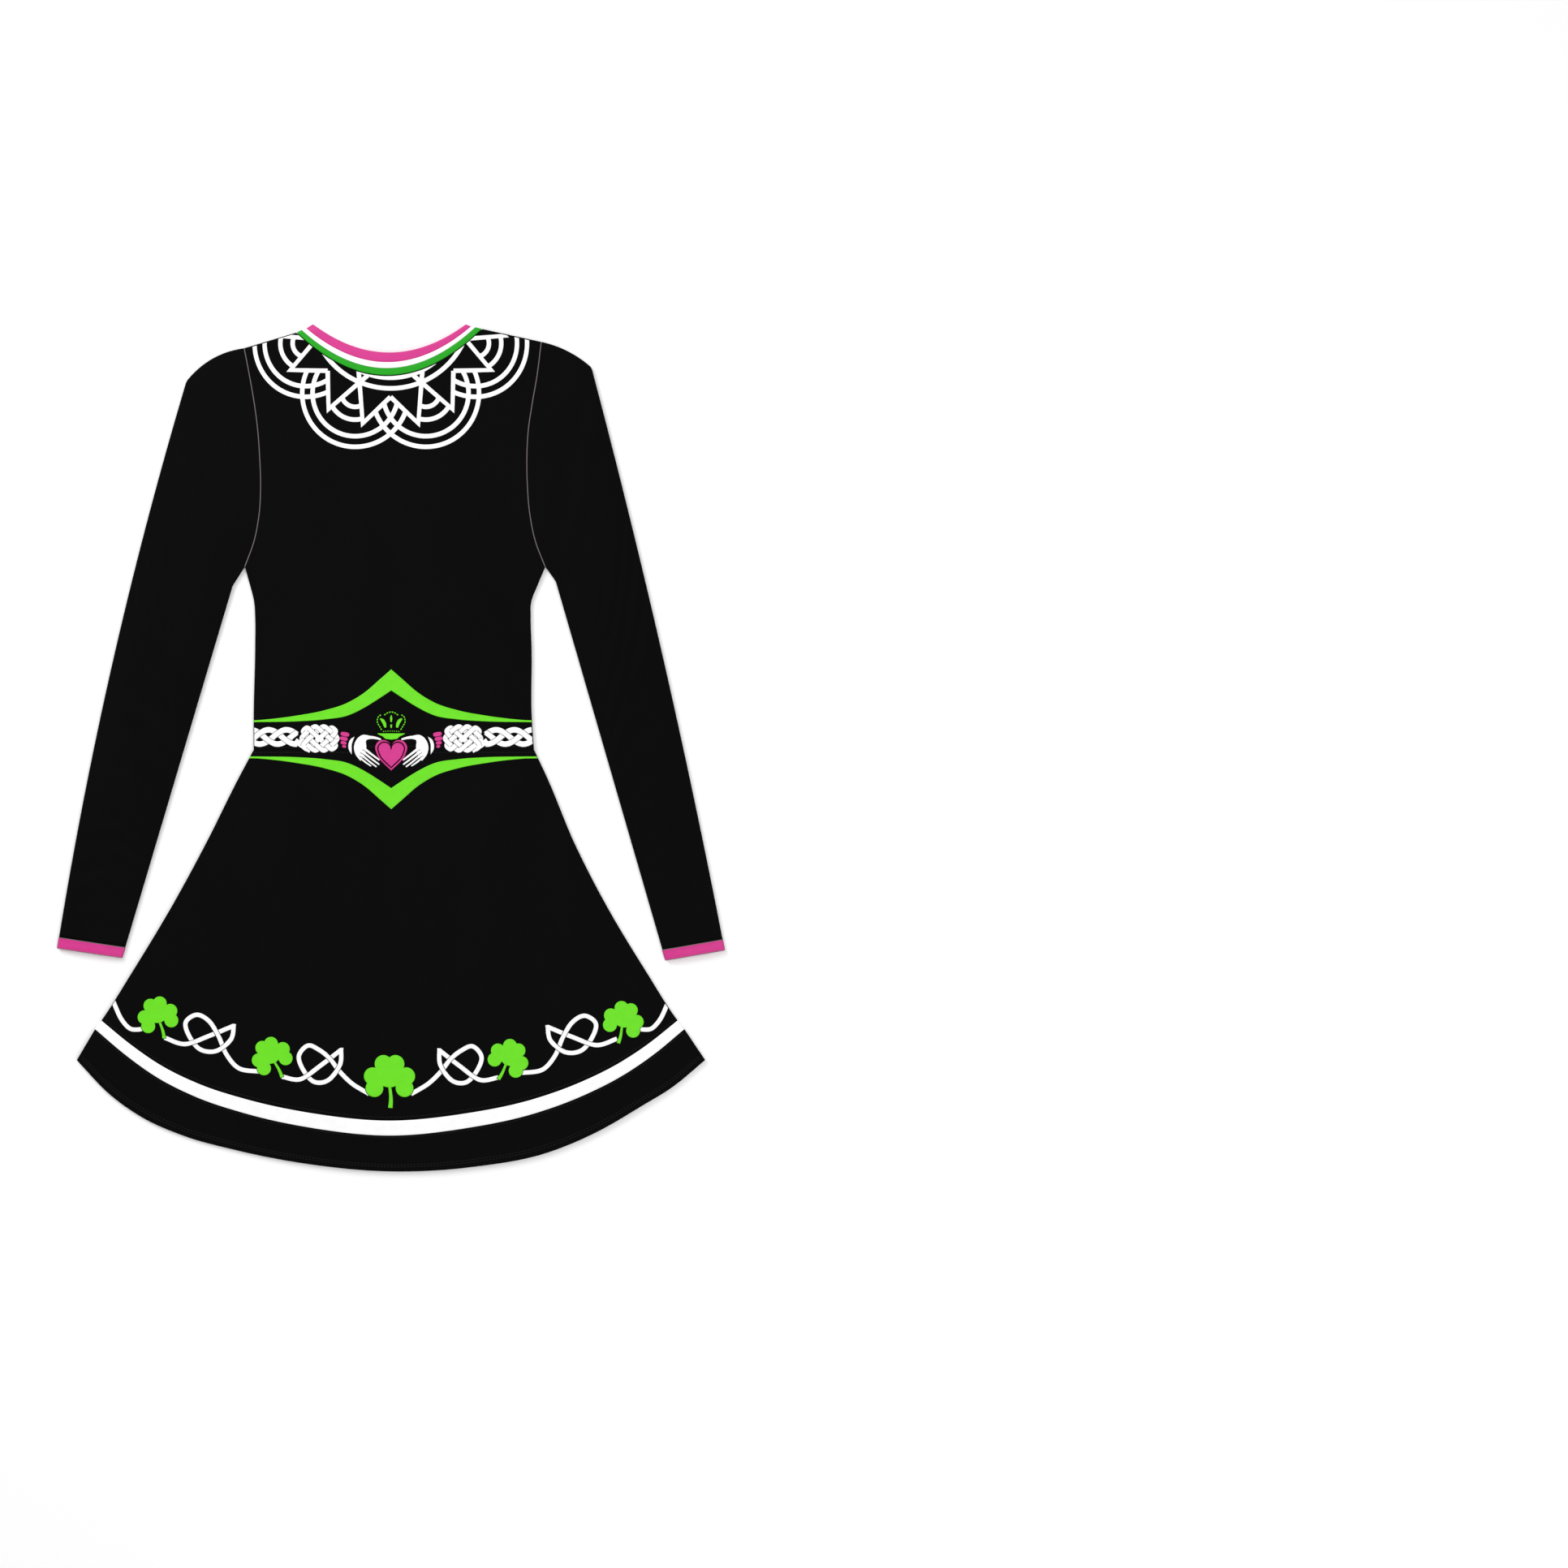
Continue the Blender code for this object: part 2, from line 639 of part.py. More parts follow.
def tube_loop(side, t, fold, top_shares, bottom_shares, top_z, bottom_z):
    """One section's loop: outer fold, top wall, inner fold, bottom wall."""
    loop = []
    for inset, half in fold:
        loop.append((sleeve_point(side, t, 0.0, inset), MID_HEIGHT + half))
    for share in top_shares:
        loop.append((sleeve_point(side, t, share, fold[-1][0]), top_z + sleeve_loft(t, share)))
    for inset, half in reversed(fold):
        loop.append((sleeve_point(side, t, 1.0, inset), MID_HEIGHT + half))
    for inset, half in fold[1:]:
        loop.append((sleeve_point(side, t, 1.0, inset), MID_HEIGHT - half))
    for share in bottom_shares:
        loop.append((sleeve_point(side, t, share, fold[-1][0]), bottom_z))
    for inset, half in reversed(fold[1:]):
        loop.append((sleeve_point(side, t, 0.0, inset), MID_HEIGHT - half))
    return [Vector((point.x, point.y, z)) for point, z in loop]


def flat_tube(name, side, sections, collection, material):
    """A sleeve or cuff: an outer and an inner skin over flat sections, joined at both ends."""
    top_shares = [0.1, 0.28, 0.5, 0.72, 0.9]
    bottom_shares = [0.8, 0.5, 0.2]
    bm = bmesh.new()
    skins = []
    for fold, top_z, bottom_z in ((FOLD_OUTSIDE, 2 * CLOTH + GAP, 0.0),
                                  (FOLD_INSIDE, CLOTH + GAP, CLOTH)):
        loops = [tube_loop(side, t, fold, top_shares, bottom_shares, top_z, bottom_z)
                 for t in sections]
        skins.append([[bm.verts.new(point) for point in loop] for loop in loops])
    outside, inside = skins
    for skin in skins:
        for a, b in zip(skin, skin[1:]):
            bridge(bm, a, b)
    bridge(bm, outside[0], inside[0])
    bridge(bm, outside[-1], inside[-1])
    bmesh.ops.recalc_face_normals(bm, faces=bm.faces)
    return add_piece(name, bm, collection, material)


def bridge(bm, a, b):
    count = len(a)
    for i in range(count):
        j = (i + 1) % count
        bm.faces.new((a[i], a[j], b[j], b[i]))


def add_sleeves(collection, materials):
    for side, sleeve in SLEEVES.items():
        tip, wrist = Vector(sleeve["tip"]), Vector(sleeve["wrist"])
        length = (wrist - tip).length / (1 - CAP_SHARE)
        cuff_top = 1 - CUFF_DEPTH / length
        sleeve_end = cuff_top - GAP / length
        sections = [t * sleeve_end for t in SLEEVE_SECTIONS]
        flat_tube(f"sleeve_{side}", side, sections, collection, materials["black"])
        flat_tube(f"cuff_{side}", side, [cuff_top, 1.0], collection, materials["pink"])


# Applique

def add_belt(collection, lime):
    for name, up in (("belt_upper_front", 1), ("belt_lower_front", -1)):
        def place(u, v, up=up):
            return belt_point(up, u, v)

        grid_piece(name, place, applique_height, BELT_COLUMNS, 1, collection, lime, APPLIQUE)


def belt_point(up, u, v):
    """A point of a belt band; up is 1 for the upper band and -1 for the lower one."""
    off = BELT_END * (2 * u - 1)
    if up < 0:
        v = 1 - v
    y = BELT_Y + up * (lerp(read(BELT_BAND, abs(off), 2), read(BELT_BAND, abs(off), 1), v) - BELT_Y)
    right, left = side_x(y, "right") + GAP, side_x(y, "left") - GAP
    if u in (0.0, 1.0):
        return Vector((right if u == 0.0 else left, y))
    return Vector((min(max(BELT_X + off, right), left), y))


def add_collar(collection, white):
    strands = []
    for angle in LOBE_ANGLES:
        centre = collar_point(COLLAR_RADIUS, angle)
        for radius, half, segments in LOBE_ARCS:
            path = arc_path(centre, radius, angle - half, angle + half, segments)
            strands += strand(path, COLLAR_STROKE)
        valley = collar_point(STAR_VALLEY, angle)
        for side in (-1, 1):
            gap = collar_point(STAR_GAP_VALLEY, angle + side * 22.5)
            tip = collar_point(STAR_TIP, angle + side * STAR_TIP_ANGLE)
            tail = valley + (valley - tip).normalized() * STAR_TAIL
            strands += strand([gap, tip, tail], COLLAR_STROKE)
    for radius in RING_RADII:
        strands += strand(arc_path(COLLAR_CENTRE, radius, -180.0, 0.0, RING_SEGMENTS), COLLAR_STROKE)
    outline_piece("collar_knot_front", strands, applique_height, APPLIQUE, collection, white,
                  clip=collar_clip())


def collar_point(radius, angle):
    """A point at a radius and an angle in degrees round the collar's centre."""
    return arc_path(COLLAR_CENTRE, radius, angle, angle, 1)[0]


def collar_clip():
    """The part of the bodice front that the collar knot may cover."""
    inset, rows = COLLAR_INSET, COLLAR_CLIP_ROWS
    right = [Vector((side_x(y, "right") + inset, y))
             for y in (lerp(SHOULDER_Y["right"] - inset, COLLAR_CLIP_Y, i / rows)
                       for i in range(rows))]
    left = [Vector((side_x(y, "left") - inset, y))
            for y in (lerp(COLLAR_CLIP_Y, SHOULDER_Y["left"] - inset, i / rows)
                      for i in range(1, rows + 1))]
    neck = [neck_point(3, 1.0 - i / NECK_COLUMNS) - Vector((0.0, inset))
            for i in range(NECK_COLUMNS + 1)]
    neck[0] -= Vector((0.0, inset / 2))
    neck[-1] -= Vector((0.0, inset / 2))
    return right + [COLLAR_CLIP_TIP] + left + neck


def plait_strands():
    """Three strands of a flat plait on the right half of the belt."""
    start, end = PLAIT_SPAN
    steps = 12
    strands = []
    for phase in (0.0, 1 / 3, 2 / 3):
        path = []
        for i in range(steps + 1):
            x = lerp(start, end, i / steps)
            turn = 2 * math.pi * ((x - start) / PLAIT_PERIOD + phase)
            path.append(Vector((BELT_X + x, PLAIT_HEIGHT + PLAIT_SWING * math.sin(turn))))
        strands += strand(path, PLAIT_STROKE)
    return strands


def round_knot_strands():
    """An interlaced round knot beside the plait, and the strand that joins them."""
    across, up = KNOT_TURNS
    steps = 44
    path = []
    for i in range(steps + 1):
        turn = 2 * math.pi * i / steps
        path.append(Vector((BELT_X + KNOT_CENTRE[0] + KNOT_SIZE[0] * math.sin(across * turn),
                            KNOT_CENTRE[1] + KNOT_SIZE[1] * math.sin(up * turn + KNOT_PHASE))))
    joint = [(BELT_X + PLAIT_SPAN[1] - 0.002, PLAIT_HEIGHT - PLAIT_SWING / 2),
             (BELT_X + LINK_BEND[0], LINK_BEND[1]),
             (BELT_X + KNOT_CENTRE[0] - KNOT_SIZE[0] / 2, KNOT_CENTRE[1] - KNOT_SIZE[1])]
    return strand(path, KNOT_STROKE) + strand(smooth_path(joint, 3), PLAIT_STROKE)


def mirrored(outlines):
    return [[Vector((2 * BELT_X - p[0], p[1])) for p in outline] for outline in outlines]


def add_braids(collection, white):
    right = plait_strands() + round_knot_strands()
    for side, strands in (("right", right), ("left", mirrored(right))):
        outline_piece(f"belt_braid_{side}", strands, applique_height, APPLIQUE, collection, white)


def heart_outline(top, tip, half, steps=8):
    """Two round shoulders and a point: half an outline, mirrored."""
    radius = half / 2
    centre_y = top - radius
    side = arc_path((radius, centre_y), radius, 180.0, -20.0, steps)
    belly = [side[-1], Vector((half * 0.72, lerp(centre_y, tip, 0.5))), Vector((0.0, tip))]
    right = side[:-1] + smooth_path(belly, 4)
    left = [Vector((-p.x, p.y)) for p in reversed(right[1:-1])]
    return [p + Vector((BELT_X, 0.0)) for p in right + left]


def oval(centre, size, angle=0.0, steps=14):
    ring = [(size[0] * math.cos(2 * math.pi * i / steps), size[1] * math.sin(2 * math.pi * i / steps))
            for i in range(steps)]
    return turned(ring, angle, 1.0, centre)


def tapered(path, widths):
    """Triangles of a strand whose width runs from one value to another."""
    edges = []
    count = len(path) - 1
    for i, point in enumerate(path):
        along = (path[min(i + 1, count)] - path[max(i - 1, 0)]).normalized()
        offset = Vector((-along.y, along.x)) * lerp(widths[0], widths[1], i / count) / 2
        edges.append((point - offset, point + offset))
    return strip(edges)


def hand_outlines():
    """The right hand: palm, thumb under the crown, three fingers under the heart."""
    outlines = [oval((BELT_X - 0.0325, 0.0008), (0.0130, 0.0072), 108.0),
                oval((BELT_X - 0.0385, 0.0024), (0.0088, 0.0050), 98.0)]
    thumb = [(-0.0335, 0.0105), (-0.0270, 0.0122), (-0.0200, 0.0110), (-0.0165, 0.0100)]
    fingers = [
        [(-0.0290, 0.0000), (-0.0225, -0.0060), (-0.0138, -0.0125)],
        [(-0.0310, -0.0050), (-0.0235, -0.0110), (-0.0128, -0.0172)],
        [(-0.0330, -0.0090), (-0.0255, -0.0150), (-0.0155, -0.0208)],
    ]
    for points, widths in [(thumb, (0.0052, 0.0022))] + [(f, (0.0046, 0.0018)) for f in fingers]:
        path = smooth_path([(BELT_X + x, y) for x, y in points], 3)
        outlines += tapered(path, widths)
    return outlines


def wrist_outlines():
    """A pink ruffled cuff: rows of short folds, narrower towards the bottom."""
    outlines = []
    for x, y, half in ((-0.0472, 0.0130, 0.0050), (-0.0482, 0.0085, 0.0050),
                       (-0.0484, 0.0040, 0.0040), (-0.0480, 0.0002, 0.0028)):
        outlines.append(oval((BELT_X + x, y), (half, 0.0027), -12.0, 12))
    return outlines


def crown_outlines():
    """Base band, two arches that meet at the top ball, and three bars inside them."""
    base = [(-1.0, 0.0), (-0.62, -0.26), (0.0, -0.40), (0.62, -0.26), (1.0, 0.0)]
    arch = [(-0.62, -0.10), (-0.86, 0.42), (-0.96, 0.86), (-0.78, 1.28), (-0.40, 1.38), (0.0, 1.46)]
    petal = [(-0.30, -0.10), (-0.42, 0.45), (-0.56, 0.95)]
    outlines = [crown_points(base)]
    for side in (1, -1):
        path = smooth_path(crown_points([(side * x, y) for x, y in arch]), 2)
        outlines += strand(path, CROWN_STROKE)
        outlines += tapered(crown_points([(side * x, y) for x, y in petal]), (0.0014, 0.0034))
    outlines += tapered(crown_points([(0.0, -0.1), (0.0, 1.46)]), (0.0016, 0.0016))
    outlines.append(oval(crown_points([(0.0, 1.5)])[0], (0.0020, 0.0020), 0.0, 10))
    return outlines


def crown_points(points):
    """Points given in half widths of the crown, up from its base line."""
    return [Vector((BELT_X + CROWN_HALF * x, CROWN_BASE_Y + CROWN_HALF * y)) for x, y in points]


def add_clasp(collection, materials):
    """Two hands holding a crowned heart, a traditional figure."""
    heart = [heart_outline(HEART_TOP_Y, HEART_TIP_Y, HEART_HALF)]
    right_pieces = [("belt_hand", hand_outlines(), "white"),
                    ("belt_hand_cuff", wrist_outlines(), "pink")]
    outline_piece("belt_heart", heart, applique_height, APPLIQUE, collection, materials["pink"])
    outline_piece("belt_crown", crown_outlines(), applique_height, APPLIQUE, collection,
                  materials["lime"])
    for name, outlines, colour in right_pieces:
        for side, shape in (("right", outlines), ("left", mirrored(outlines))):
            outline_piece(f"{name}_{side}", shape, applique_height, APPLIQUE, collection,
                          materials[colour])


def shamrock_outlines(x, y, width, tilt, grow=0.0):
    """Three two-lobed leaves and a stem, drawn 56 mm wide and then sized, tilted and placed."""
    radius = LEAF_RADIUS + grow
    outlines = [oval(LEAF_ROOT, (LEAF_CORE + grow, LEAF_CORE + grow))]
    for angle in LEAF_ANGLES:
        lobes = turned([(LEAF_REACH, LEAF_SPREAD), (LEAF_REACH, -LEAF_SPREAD)], angle, 1.0,
                       LEAF_ROOT)
        outlines += [oval(lobe, (radius, radius)) for lobe in lobes]
        flank = LEAF_SPREAD + radius * 0.7
        wedge = [(0.0, 0.0), (LEAF_REACH, -flank), (LEAF_REACH + radius / 2, 0.0),
                 (LEAF_REACH, flank)]
        outlines.append(turned(wedge, angle, 1.0, LEAF_ROOT))
    stem = [Vector(p) for p in STEM] + [Vector(STEM[-1]) - Vector((0.0, grow))] * (grow > 0)
    outlines += tapered(stem, (STEM_WIDTHS[0] + 2 * grow, STEM_WIDTHS[1] + 2 * grow))
    return [turned(outline, tilt, width / SHAMROCK_WIDTH, (x, y)) for outline in outlines]


def add_shamrocks(collection, lime):
    for number, place in enumerate(SHAMROCKS, start=1):
        outline_piece(f"shamrock_{number}", shamrock_outlines(*place), applique_height, APPLIQUE,
                      collection, lime)


def loop_knot(start_x, start_y, end_x, end_y, rise, flip):
    """A looped strand laid from one shamrock to the next; flip runs it the other way."""
    start, end = Vector((start_x, start_y)), Vector((end_x, end_y))
    if flip:
        start, end = end, start
    along = end - start
    up = Vector((-along.y, along.x)) * (-1 if flip else 1)

    def laid(points):
        return [start + along * u + up * v * rise for u, v in points]

    path = smooth_path(laid(LOOP_START), 3)[:-1] + smooth_path(laid(LOOP_BACK), 3)
    return strand(path, VINE_STROKE)


def add_vine(collection, white):
    """The strands between the shamrocks, cut away where a shamrock lies."""
    leaves = [outline for place in SHAMROCKS for outline in shamrock_outlines(*place, VINE_GAP)]
    right = strand(smooth_path(VINE_END, 4), VINE_STROKE)
    pieces = [(f"knot_{number}", loop_knot(*vine, flip=vine[0] > 0))
              for number, vine in enumerate(VINES, start=1)]
    pieces += [("end_right", right), ("end_left", mirrored(right))]
    for name, strands in pieces:
        outline_piece(f"vine_{name}", strands, applique_height, APPLIQUE, collection, white,
                      holes=leaves)


# Zip

def box(bm, low, high):
    made = bmesh.ops.create_cube(bm, size=1.0)["verts"]
    for vert in made:
        for i in range(3):
            vert.co[i] = lerp(low[i], high[i], vert.co[i] + 0.5)


def box_piece(name, low, high, collection, material):
    bm = bmesh.new()
    box(bm, low, high)
    return add_piece(name, bm, collection, material)


def fuse(name, boxes, cutters, collection, material):
    """One solid from several overlapping boxes."""
    bm = bmesh.new()
    box(bm, *boxes[0])
    obj = add_piece(name, bm, collection, material)
    for number, (low, high) in enumerate(boxes[1:], start=1):
        cutter = box_piece(f"{name}_add_{number}", low, high, cutters, material)
        cutter.hide_render = True
        cutter.display_type = "WIRE"
        union = obj.modifiers.new(f"add_{number}", "BOOLEAN")
        union.operation = "UNION"
        union.object = cutter
    return obj


def add_zip(collection, cutters, materials):
    tape_low = CLOTH + GAP
    tape_high = tape_low + TAPE_THICK
    slider_low = ZIP_TOP_Y - SLIDER_LENGTH
    for side, sign in (("right", -1), ("left", 1)):
        xs = sorted((sign * TAPE_INNER, sign * TAPE_OUTER))
        box_piece(f"zip_tape_{side}", (xs[0], ZIP_BOTTOM_Y - TAPE_ENDS[0], tape_low),
                  (xs[1], ZIP_TOP_Y + TAPE_ENDS[1], tape_high), collection, materials["grey"])
    box_piece("zip_coil", (-COIL_HALF, ZIP_BOTTOM_Y, CLOTH - GAP),
              (COIL_HALF, slider_low - GAP, tape_high + GAP), collection, materials["grey"])
    outer_top = tape_low - GAP
    outer_low = outer_top - WING_THICK
    inner_low = tape_high + GAP
    axis_y = slider_low + PULL_AXIS_INSET
    boxes = [((-SLIDER_HALF, slider_low, outer_low), (SLIDER_HALF, ZIP_TOP_Y, outer_top)),
             ((-SLIDER_HALF, slider_low, inner_low),
              (SLIDER_HALF, ZIP_TOP_Y, inner_low + WING_THICK)),
             ((-POST_HALF, ZIP_TOP_Y - POST_ENDS[0], outer_top - OVERLAP),
              (POST_HALF, ZIP_TOP_Y - POST_ENDS[1], inner_low + OVERLAP))]
    for sign in (-1, 1):
        xs = sorted((sign * LUG_INNER, sign * LUG_OUTER))
        boxes.append(((xs[0], axis_y - LUG_HALF, LUG_LOW),
                      (xs[1], axis_y + LUG_HALF, outer_low + OVERLAP)))
    fuse("zip_slider", boxes, cutters, collection, materials["metal"])
    add_pull(axis_y, collection, cutters, materials["metal"])


def add_pull(axis_y, collection, cutters, metal):
    """The pull tab: a barrel on its hinge axis and a flat plate with a narrow neck."""
    bpy.ops.mesh.primitive_cylinder_add(vertices=16, radius=PULL_BARREL_RADIUS,
                                        depth=2 * (LUG_INNER - PULL_PLAY),
                                        location=(0.0, axis_y, PULL_AXIS_Z),
                                        rotation=(0.0, math.pi / 2, 0.0))
    pull = bpy.context.object
    pull.name = "zip_pull"
    pull.data.materials.append(metal)
    for owner in list(pull.users_collection):
        owner.objects.unlink(pull)
    collection.objects.link(pull)
    shoulder, corner = PULL_NECK_LENGTH + PULL_CORNER, PULL_LENGTH - PULL_CORNER
    half_outline = [(PULL_NECK_HALF, 0.0), (PULL_NECK_HALF, PULL_NECK_LENGTH),
                    (PULL_HALF, shoulder), (PULL_HALF, corner),
                    (PULL_HALF - PULL_CORNER, PULL_LENGTH)]
    outline = ([(-x, -y) for x, y in half_outline]
               + [(x, -y) for x, y in reversed(half_outline)])
    bm = bmesh.new()
    face = bm.faces.new([bm.verts.new((x, axis_y + y, PULL_AXIS_Z - PULL_THICK / 2))
                         for x, y in outline])
    lifted = bmesh.ops.extrude_face_region(bm, geom=[face], use_keep_orig=True)["geom"]
    for item in lifted:
        if isinstance(item, bmesh.types.BMVert):
            item.co.z += PULL_THICK
    bmesh.ops.recalc_face_normals(bm, faces=bm.faces)
    plate = add_piece("zip_pull_plate", bm, cutters, metal)
    plate.hide_render = True
    plate.display_type = "WIRE"
    union = pull.modifiers.new("plate", "BOOLEAN")
    union.operation = "UNION"
    union.object = plate


def main():
    clear_scene()
    collection = make_collection("irish_dance_dress")
    cutters = make_collection("cutters")
    materials = {
        "black": make_material("black_cloth", BLACK, 0.9),
        "white": make_material("white_satin", WHITE, 0.5),
        "pink": make_material("pink_satin", PINK, 0.5),
        "green": make_material("green_satin", GREEN, 0.5),
        "lime": make_material("lime_satin", LIME, 0.5),
        "grey": make_material("grey_zip", GREY, 0.6),
        "metal": make_material("zip_metal", GREY, 0.35, 1.0),
    }
    add_bodice(collection, materials["black"])
    add_neck_bands(collection, materials)
    add_skirt(collection, materials)
    add_sleeves(collection, materials)
    add_belt(collection, materials["lime"])
    add_collar(collection, materials["white"])
    add_braids(collection, materials["white"])
    add_clasp(collection, materials)
    add_shamrocks(collection, materials["lime"])
    add_vine(collection, materials["white"])
    add_zip(collection, cutters, materials)


main()
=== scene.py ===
"""Looks of the dance dress: cloth skins, ornament, seams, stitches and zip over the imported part.

+X is the wearer's left, +Y runs to the neck, +Z is up, and the dress lies on z = 0. Sizes are
metres. In every table "right" is the wearer's right, at -X. The tables of the cut are the
part's own to within a few millimetres, so each skin lies where its solid is.
"""

import math
from functools import partial

import bmesh
import bpy
import numpy as np
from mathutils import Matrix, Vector, kdtree
from mathutils.geometry import delaunay_2d_cdt


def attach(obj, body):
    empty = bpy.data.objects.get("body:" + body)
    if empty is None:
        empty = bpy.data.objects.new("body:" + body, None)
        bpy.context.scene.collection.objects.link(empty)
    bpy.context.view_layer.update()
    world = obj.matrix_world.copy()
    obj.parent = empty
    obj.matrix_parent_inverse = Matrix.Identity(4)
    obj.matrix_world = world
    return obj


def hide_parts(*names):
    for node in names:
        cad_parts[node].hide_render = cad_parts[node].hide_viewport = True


# Walls, gaps and heights of the solids
CLOTH = 0.0015
GAP = 0.0003
FRONT_BASE = CLOTH + GAP
MID = CLOTH + GAP / 2
BODY_LOFT = 0.003
SLEEVE_LOFT = 0.0028
HEM_LOFT_SHARE = 0.2
SHOULDER_FADE = 0.07

# Skins, seams and ornament
SKIN = 0.0007  # how thick a cloth skin is
BACK_SKIN = 0.00035  # the back's outer face; its ornament fills the space below it
SLEEVE_UNDER = 0.00005
FOLD_RADIUS = 0.0025
FOLD_FADE = 0.012  # how far above the underarm the side fold ends
GROOVE_WIDTH = 0.0016
GROOVE_DEPTH = 0.0005
EDGE_INSETS = np.array([0.0, 0.0002, 0.0007, 0.0014, 0.0025])
APPLIQUE_RISE = 0.0008
HIGH_RISE = 0.0010  # the heart's and the shamrocks'
WEAVE_LIFT = 0.00045
BACK_RISE = 0.0003

# Heights along the body
HEM_Y = -0.323
WAIST_Y = -0.0025
UNDERARM_Y = 0.187
SHOULDER_Y = {"right": 0.4135, "left": 0.420}
COLUMN = {"right": 1, "left": 2}

# Bodice side edges from the waist to the underarm: height, right, left
BODICE_SIDES = [
    (-0.003, -0.142, 0.148),
    (0.035, -0.142, 0.1455),
    (0.102, -0.1405, 0.1455),
    (0.136, -0.1405, 0.1445),
    (0.151, -0.1415, 0.145),
    (0.169, -0.146, 0.152),
    (0.187, -0.151, 0.1595),
]
BEND_START = 0.6  # share up the bodice where its rows start to bend to the neckline
UNDERARM_SHARE_UP = 5 / 17
# Spread of the columns, so that they meet the neckline's ends: even share, share across
COLUMN_SPREAD = [(0.0, 0.0), (0.15, 0.1765), (0.85, 0.80), (1.0, 1.0)]
ARMHOLE_GAP = 0.0004
# Armhole edges from the underarm to the shoulder: height, right, left
ARMHOLES = [
    (0.187, -0.151, 0.1595),
    (0.213, -0.1415, 0.1495),
    (0.242, -0.136, 0.1435),
    (0.272, -0.1345, 0.141),
    (0.301, -0.1355, 0.1405),
    (0.329, -0.1375, 0.142),
    (0.356, -0.141, 0.146),
    (0.385, -0.146, 0.151),
    (0.420, -0.1528, 0.1554),
]
# Skirt side edges from the hem corner to the waist: height, right, left
SKIRT_SIDES = [
    (-0.323, -0.325, 0.325),
    (-0.291, -0.306, 0.3035),
    (-0.282, -0.2995, 0.2965),
    (-0.234, -0.269, 0.2655),
    (-0.167, -0.2285, 0.225),
    (-0.099, -0.1915, 0.190),
    (-0.032, -0.158, 0.162),
    (-0.002, -0.142, 0.148),
]
# How far the hem and the stripe sag between the sides, as a share: share across, hem, stripe
SAG_PROFILE = [
    (0.00, 0.000, 0.000),
    (0.05, 0.295, 0.235),
    (0.10, 0.500, 0.435),
    (0.17, 0.680, 0.635),
    (0.25, 0.805, 0.785),
    (0.37, 0.935, 0.930),
    (0.50, 1.000, 1.000),
    (0.63, 0.960, 0.930),
    (0.75, 0.830, 0.785),
    (0.83, 0.640, 0.620),
    (0.90, 0.410, 0.420),
    (0.95, 0.235, 0.230),
    (1.00, 0.000, 0.000),
]
# Lines across the skirt: height at its sides, sag, column of the profile
HEM = (HEM_Y, 0.1151, 1)
STRIPE_BOTTOM = (-0.291, 0.110, 2)
STRIPE_TOP = (-0.282, 0.1035, 2)
SAG_POWER = 1.6  # how fast the panel's rows bend towards the stripe

# Neck lines from the opening outwards: right end x, y, left end x, y, height at the middle
NECK_LINES = [
    (-0.0806, 0.4381, 0.0775, 0.4381, 0.4087),
    (-0.0874, 0.4339, 0.0828, 0.4358, 0.3987),
    (-0.0924, 0.4322, 0.0874, 0.4351, 0.3924),
    (-0.0974, 0.4297, 0.0940, 0.4334, 0.3851),
]
NECK_BANDS = ["pink", "white", "green"]
BAND_WIDTH = 0.0065

# Sleeve: cap control point, tip, wrist ends and the underarm corner, and the outer edge's bow
SLEEVES = {
    "right": {"cap": (-0.1882, 0.4087), "tip": (-0.2117, 0.3793), "wrist": (-0.3453, -0.2071),
              "corner": (-0.1638, 0.1676), "wrist_in": (-0.2780, -0.2171), "bow": 0.0099},
    "left": {"cap": (0.1848, 0.4137), "tip": (0.2075, 0.3935), "wrist": (0.3453, -0.2092),
             "corner": (0.1705, 0.1720), "wrist_in": (0.2839, -0.2197), "bow": 0.0053},
}
CAP_SHARE = 0.13  # share of the sleeve's outer edge that is the rounded cap
UNDERARM_SHARE = 0.05
CAP_BULGE_FADE = 0.25
CUFF_DEPTH = 0.011

# Belt bands: distance from the middle, top, bottom; the lower band mirrors them about BELT_Y
BELT_X = 0.0007
BELT_Y = 0.0088
BELT_END = 0.141
BELT_STEPS = 119
BELT_BAND = [
    (0.0, 0.0811, 0.0592),
    (0.0116, 0.0710, 0.0515),
    (0.026, 0.0584, 0.0424),
    (0.0452, 0.0466, 0.0332),
    (0.0679, 0.0391, 0.0294),
    (0.099, 0.0332, 0.0272),
    (0.141, 0.0285, 0.0265),
    (0.156, 0.0278, 0.0262),
]

# Collar knot: lobes on a ring round the neck
COLLAR_CENTRE = (0.0, 0.4549)
COLLAR_RADIUS = 0.0956
LOBE_ANGLES = [-157.5, -112.5, -67.5, -22.5]
COLLAR_STROKE = 0.0048
COLLAR_DRAW_IN = 1.0  # how much the outer lobes lie nearer the middle
# Arcs round each lobe's centre: radius, half angle either side of its axis, segments
LOBE_ARCS = [(0.0556, 92.0, 48), (0.0446, 98.5, 42), (0.0275, 37.5, 12), (0.0143, 48.0, 9)]
STAR_TIP = 0.123
STAR_TIP_ANGLE = 9.0
STAR_VALLEY = 0.0837
STAR_GAP_VALLEY = 0.0923
STAR_GAP_ANGLE = 22.5
STAR_TAIL = 0.011
RING_RADII = [0.0835, 0.0725]
# The knot is cut off just inside the neck line and the armholes
CLIP_INSET = 0.001
CLIP_LOW_Y = 0.30
CLIP_BOTTOM = (0.0, 0.27)
COLLAR_SLOT_Y = (0.25, 0.45)  # the zip's slot, which parts the knot on the back

